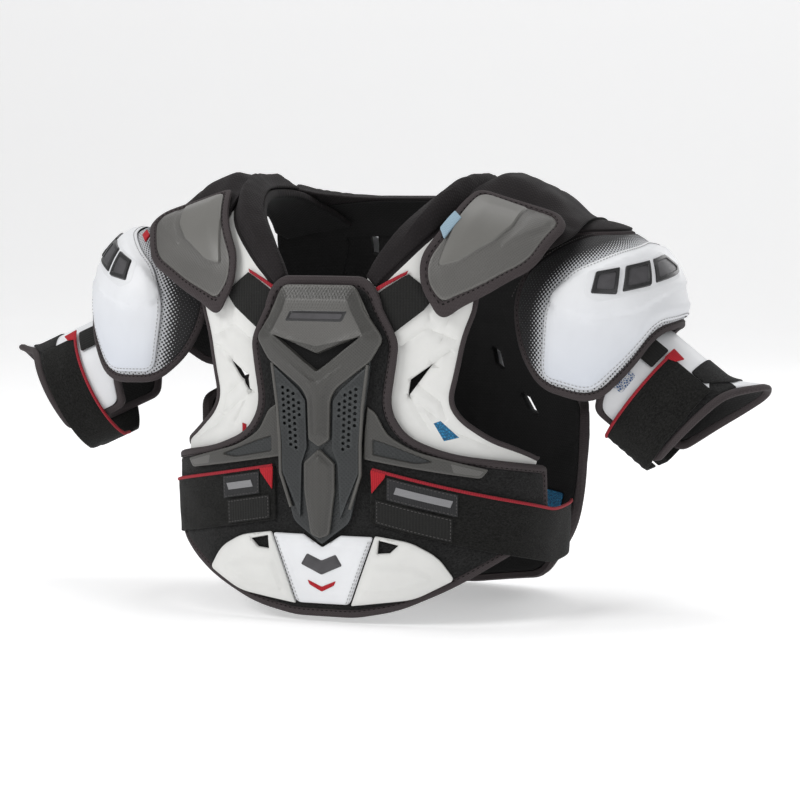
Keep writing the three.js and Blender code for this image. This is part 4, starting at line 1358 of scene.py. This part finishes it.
front_panel()
sternum_guard()
belly_pad()
back()
for one in SIDES:
    chest_side(one)
    body_strap(one)
    shoulder(one)
    cup(one)
    upper_arm(one)


# ---- studio -------------------------------------------------------------------------------------
FLOOR_Z = CAD_BOX[0][2] - 0.002


def studio():
    mesh = bpy.data.meshes.new("floor")
    half, back_at, rise = 6.0, 4.0, 1.5
    rows = [(-6.0, 0.0)]
    rows += [
        (back_at + rise * math.sin(a), rise * (1 - math.cos(a))) for a in np.linspace(0, math.pi / 2, 12)
    ]
    rows.append((back_at + rise, 8.0))
    verts = [(x * half, y, FLOOR_Z + z) for y, z in rows for x in (-1, 1)]
    mesh.from_pydata(verts, [], [(2 * i, 2 * i + 1, 2 * i + 3, 2 * i + 2) for i in range(len(rows) - 1)])
    mesh.polygons.foreach_set("use_smooth", np.ones(len(mesh.polygons), bool))
    look = bpy.data.materials.new("floor")
    look.use_nodes = True
    shader = look.node_tree.nodes["Principled BSDF"]
    shader.inputs["Base Color"].default_value = (0.93, 0.93, 0.935, 1)
    shader.inputs["Roughness"].default_value = 0.9
    shader.inputs["Specular IOR Level"].default_value = 0.1
    shader.inputs["Emission Color"].default_value = (1, 1, 1, 1)
    shader.inputs["Emission Strength"].default_value = 0.32
    mesh.materials.append(look)
    add("floor", mesh)
    world = bpy.data.worlds.new("studio")
    bpy.context.scene.world = world
    world.use_nodes = True
    background = world.node_tree.nodes["Background"]
    background.inputs["Color"].default_value = (1, 1, 1, 1)
    background.inputs["Strength"].default_value = 0.40


def light(name, place, aim, size, power):
    lamp = bpy.data.lights.new(name, "AREA")
    lamp.shape = "RECTANGLE"
    lamp.size, lamp.size_y = size
    lamp.energy = power
    obj = add(name, lamp)
    obj.location = place
    obj.rotation_euler = (Vector(aim) - Vector(place)).to_track_quat("-Z", "Y").to_euler()


def camera():
    """At the photograph's angle: 20 degrees round to the wearer's left, 5 degrees up."""
    azimuth, elevation, distance = math.radians(20), math.radians(5), 2.4
    right = Vector((math.cos(azimuth), math.sin(azimuth), 0))
    back_way = Vector((
        math.sin(azimuth) * math.cos(elevation), -math.cos(azimuth) * math.cos(elevation), math.sin(elevation)
    ))
    up = back_way.cross(right)
    per_pixel, picture_width = 0.00095, 800
    aim = Vector((0, 0, -0.190)) + right * (25 * per_pixel) - up * (10 * per_pixel)
    data = bpy.data.cameras.new("camera")
    data.sensor_width = 36
    data.lens = data.sensor_width * distance / (picture_width * per_pixel)
    obj = add("camera", data)
    obj.location = aim + back_way * distance
    obj.rotation_euler = (-back_way).to_track_quat("-Z", "Y").to_euler()
    bpy.context.scene.camera = obj


studio()
MIDDLE = (0, 0, -0.2)
light("key", (-1.6, -2.2, 1.7), MIDDLE, (1.4, 1.0), 42)
light("fill", (2.2, -1.8, 0.8), MIDDLE, (1.6, 1.6), 10)
light("top", (0, 0.4, 2.4), MIDDLE, (2.0, 1.2), 22)
light("rim", (1.2, 2.4, 1.0), MIDDLE, (1.2, 1.2), 10)
camera()
bpy.context.scene.view_settings.view_transform = "Standard"
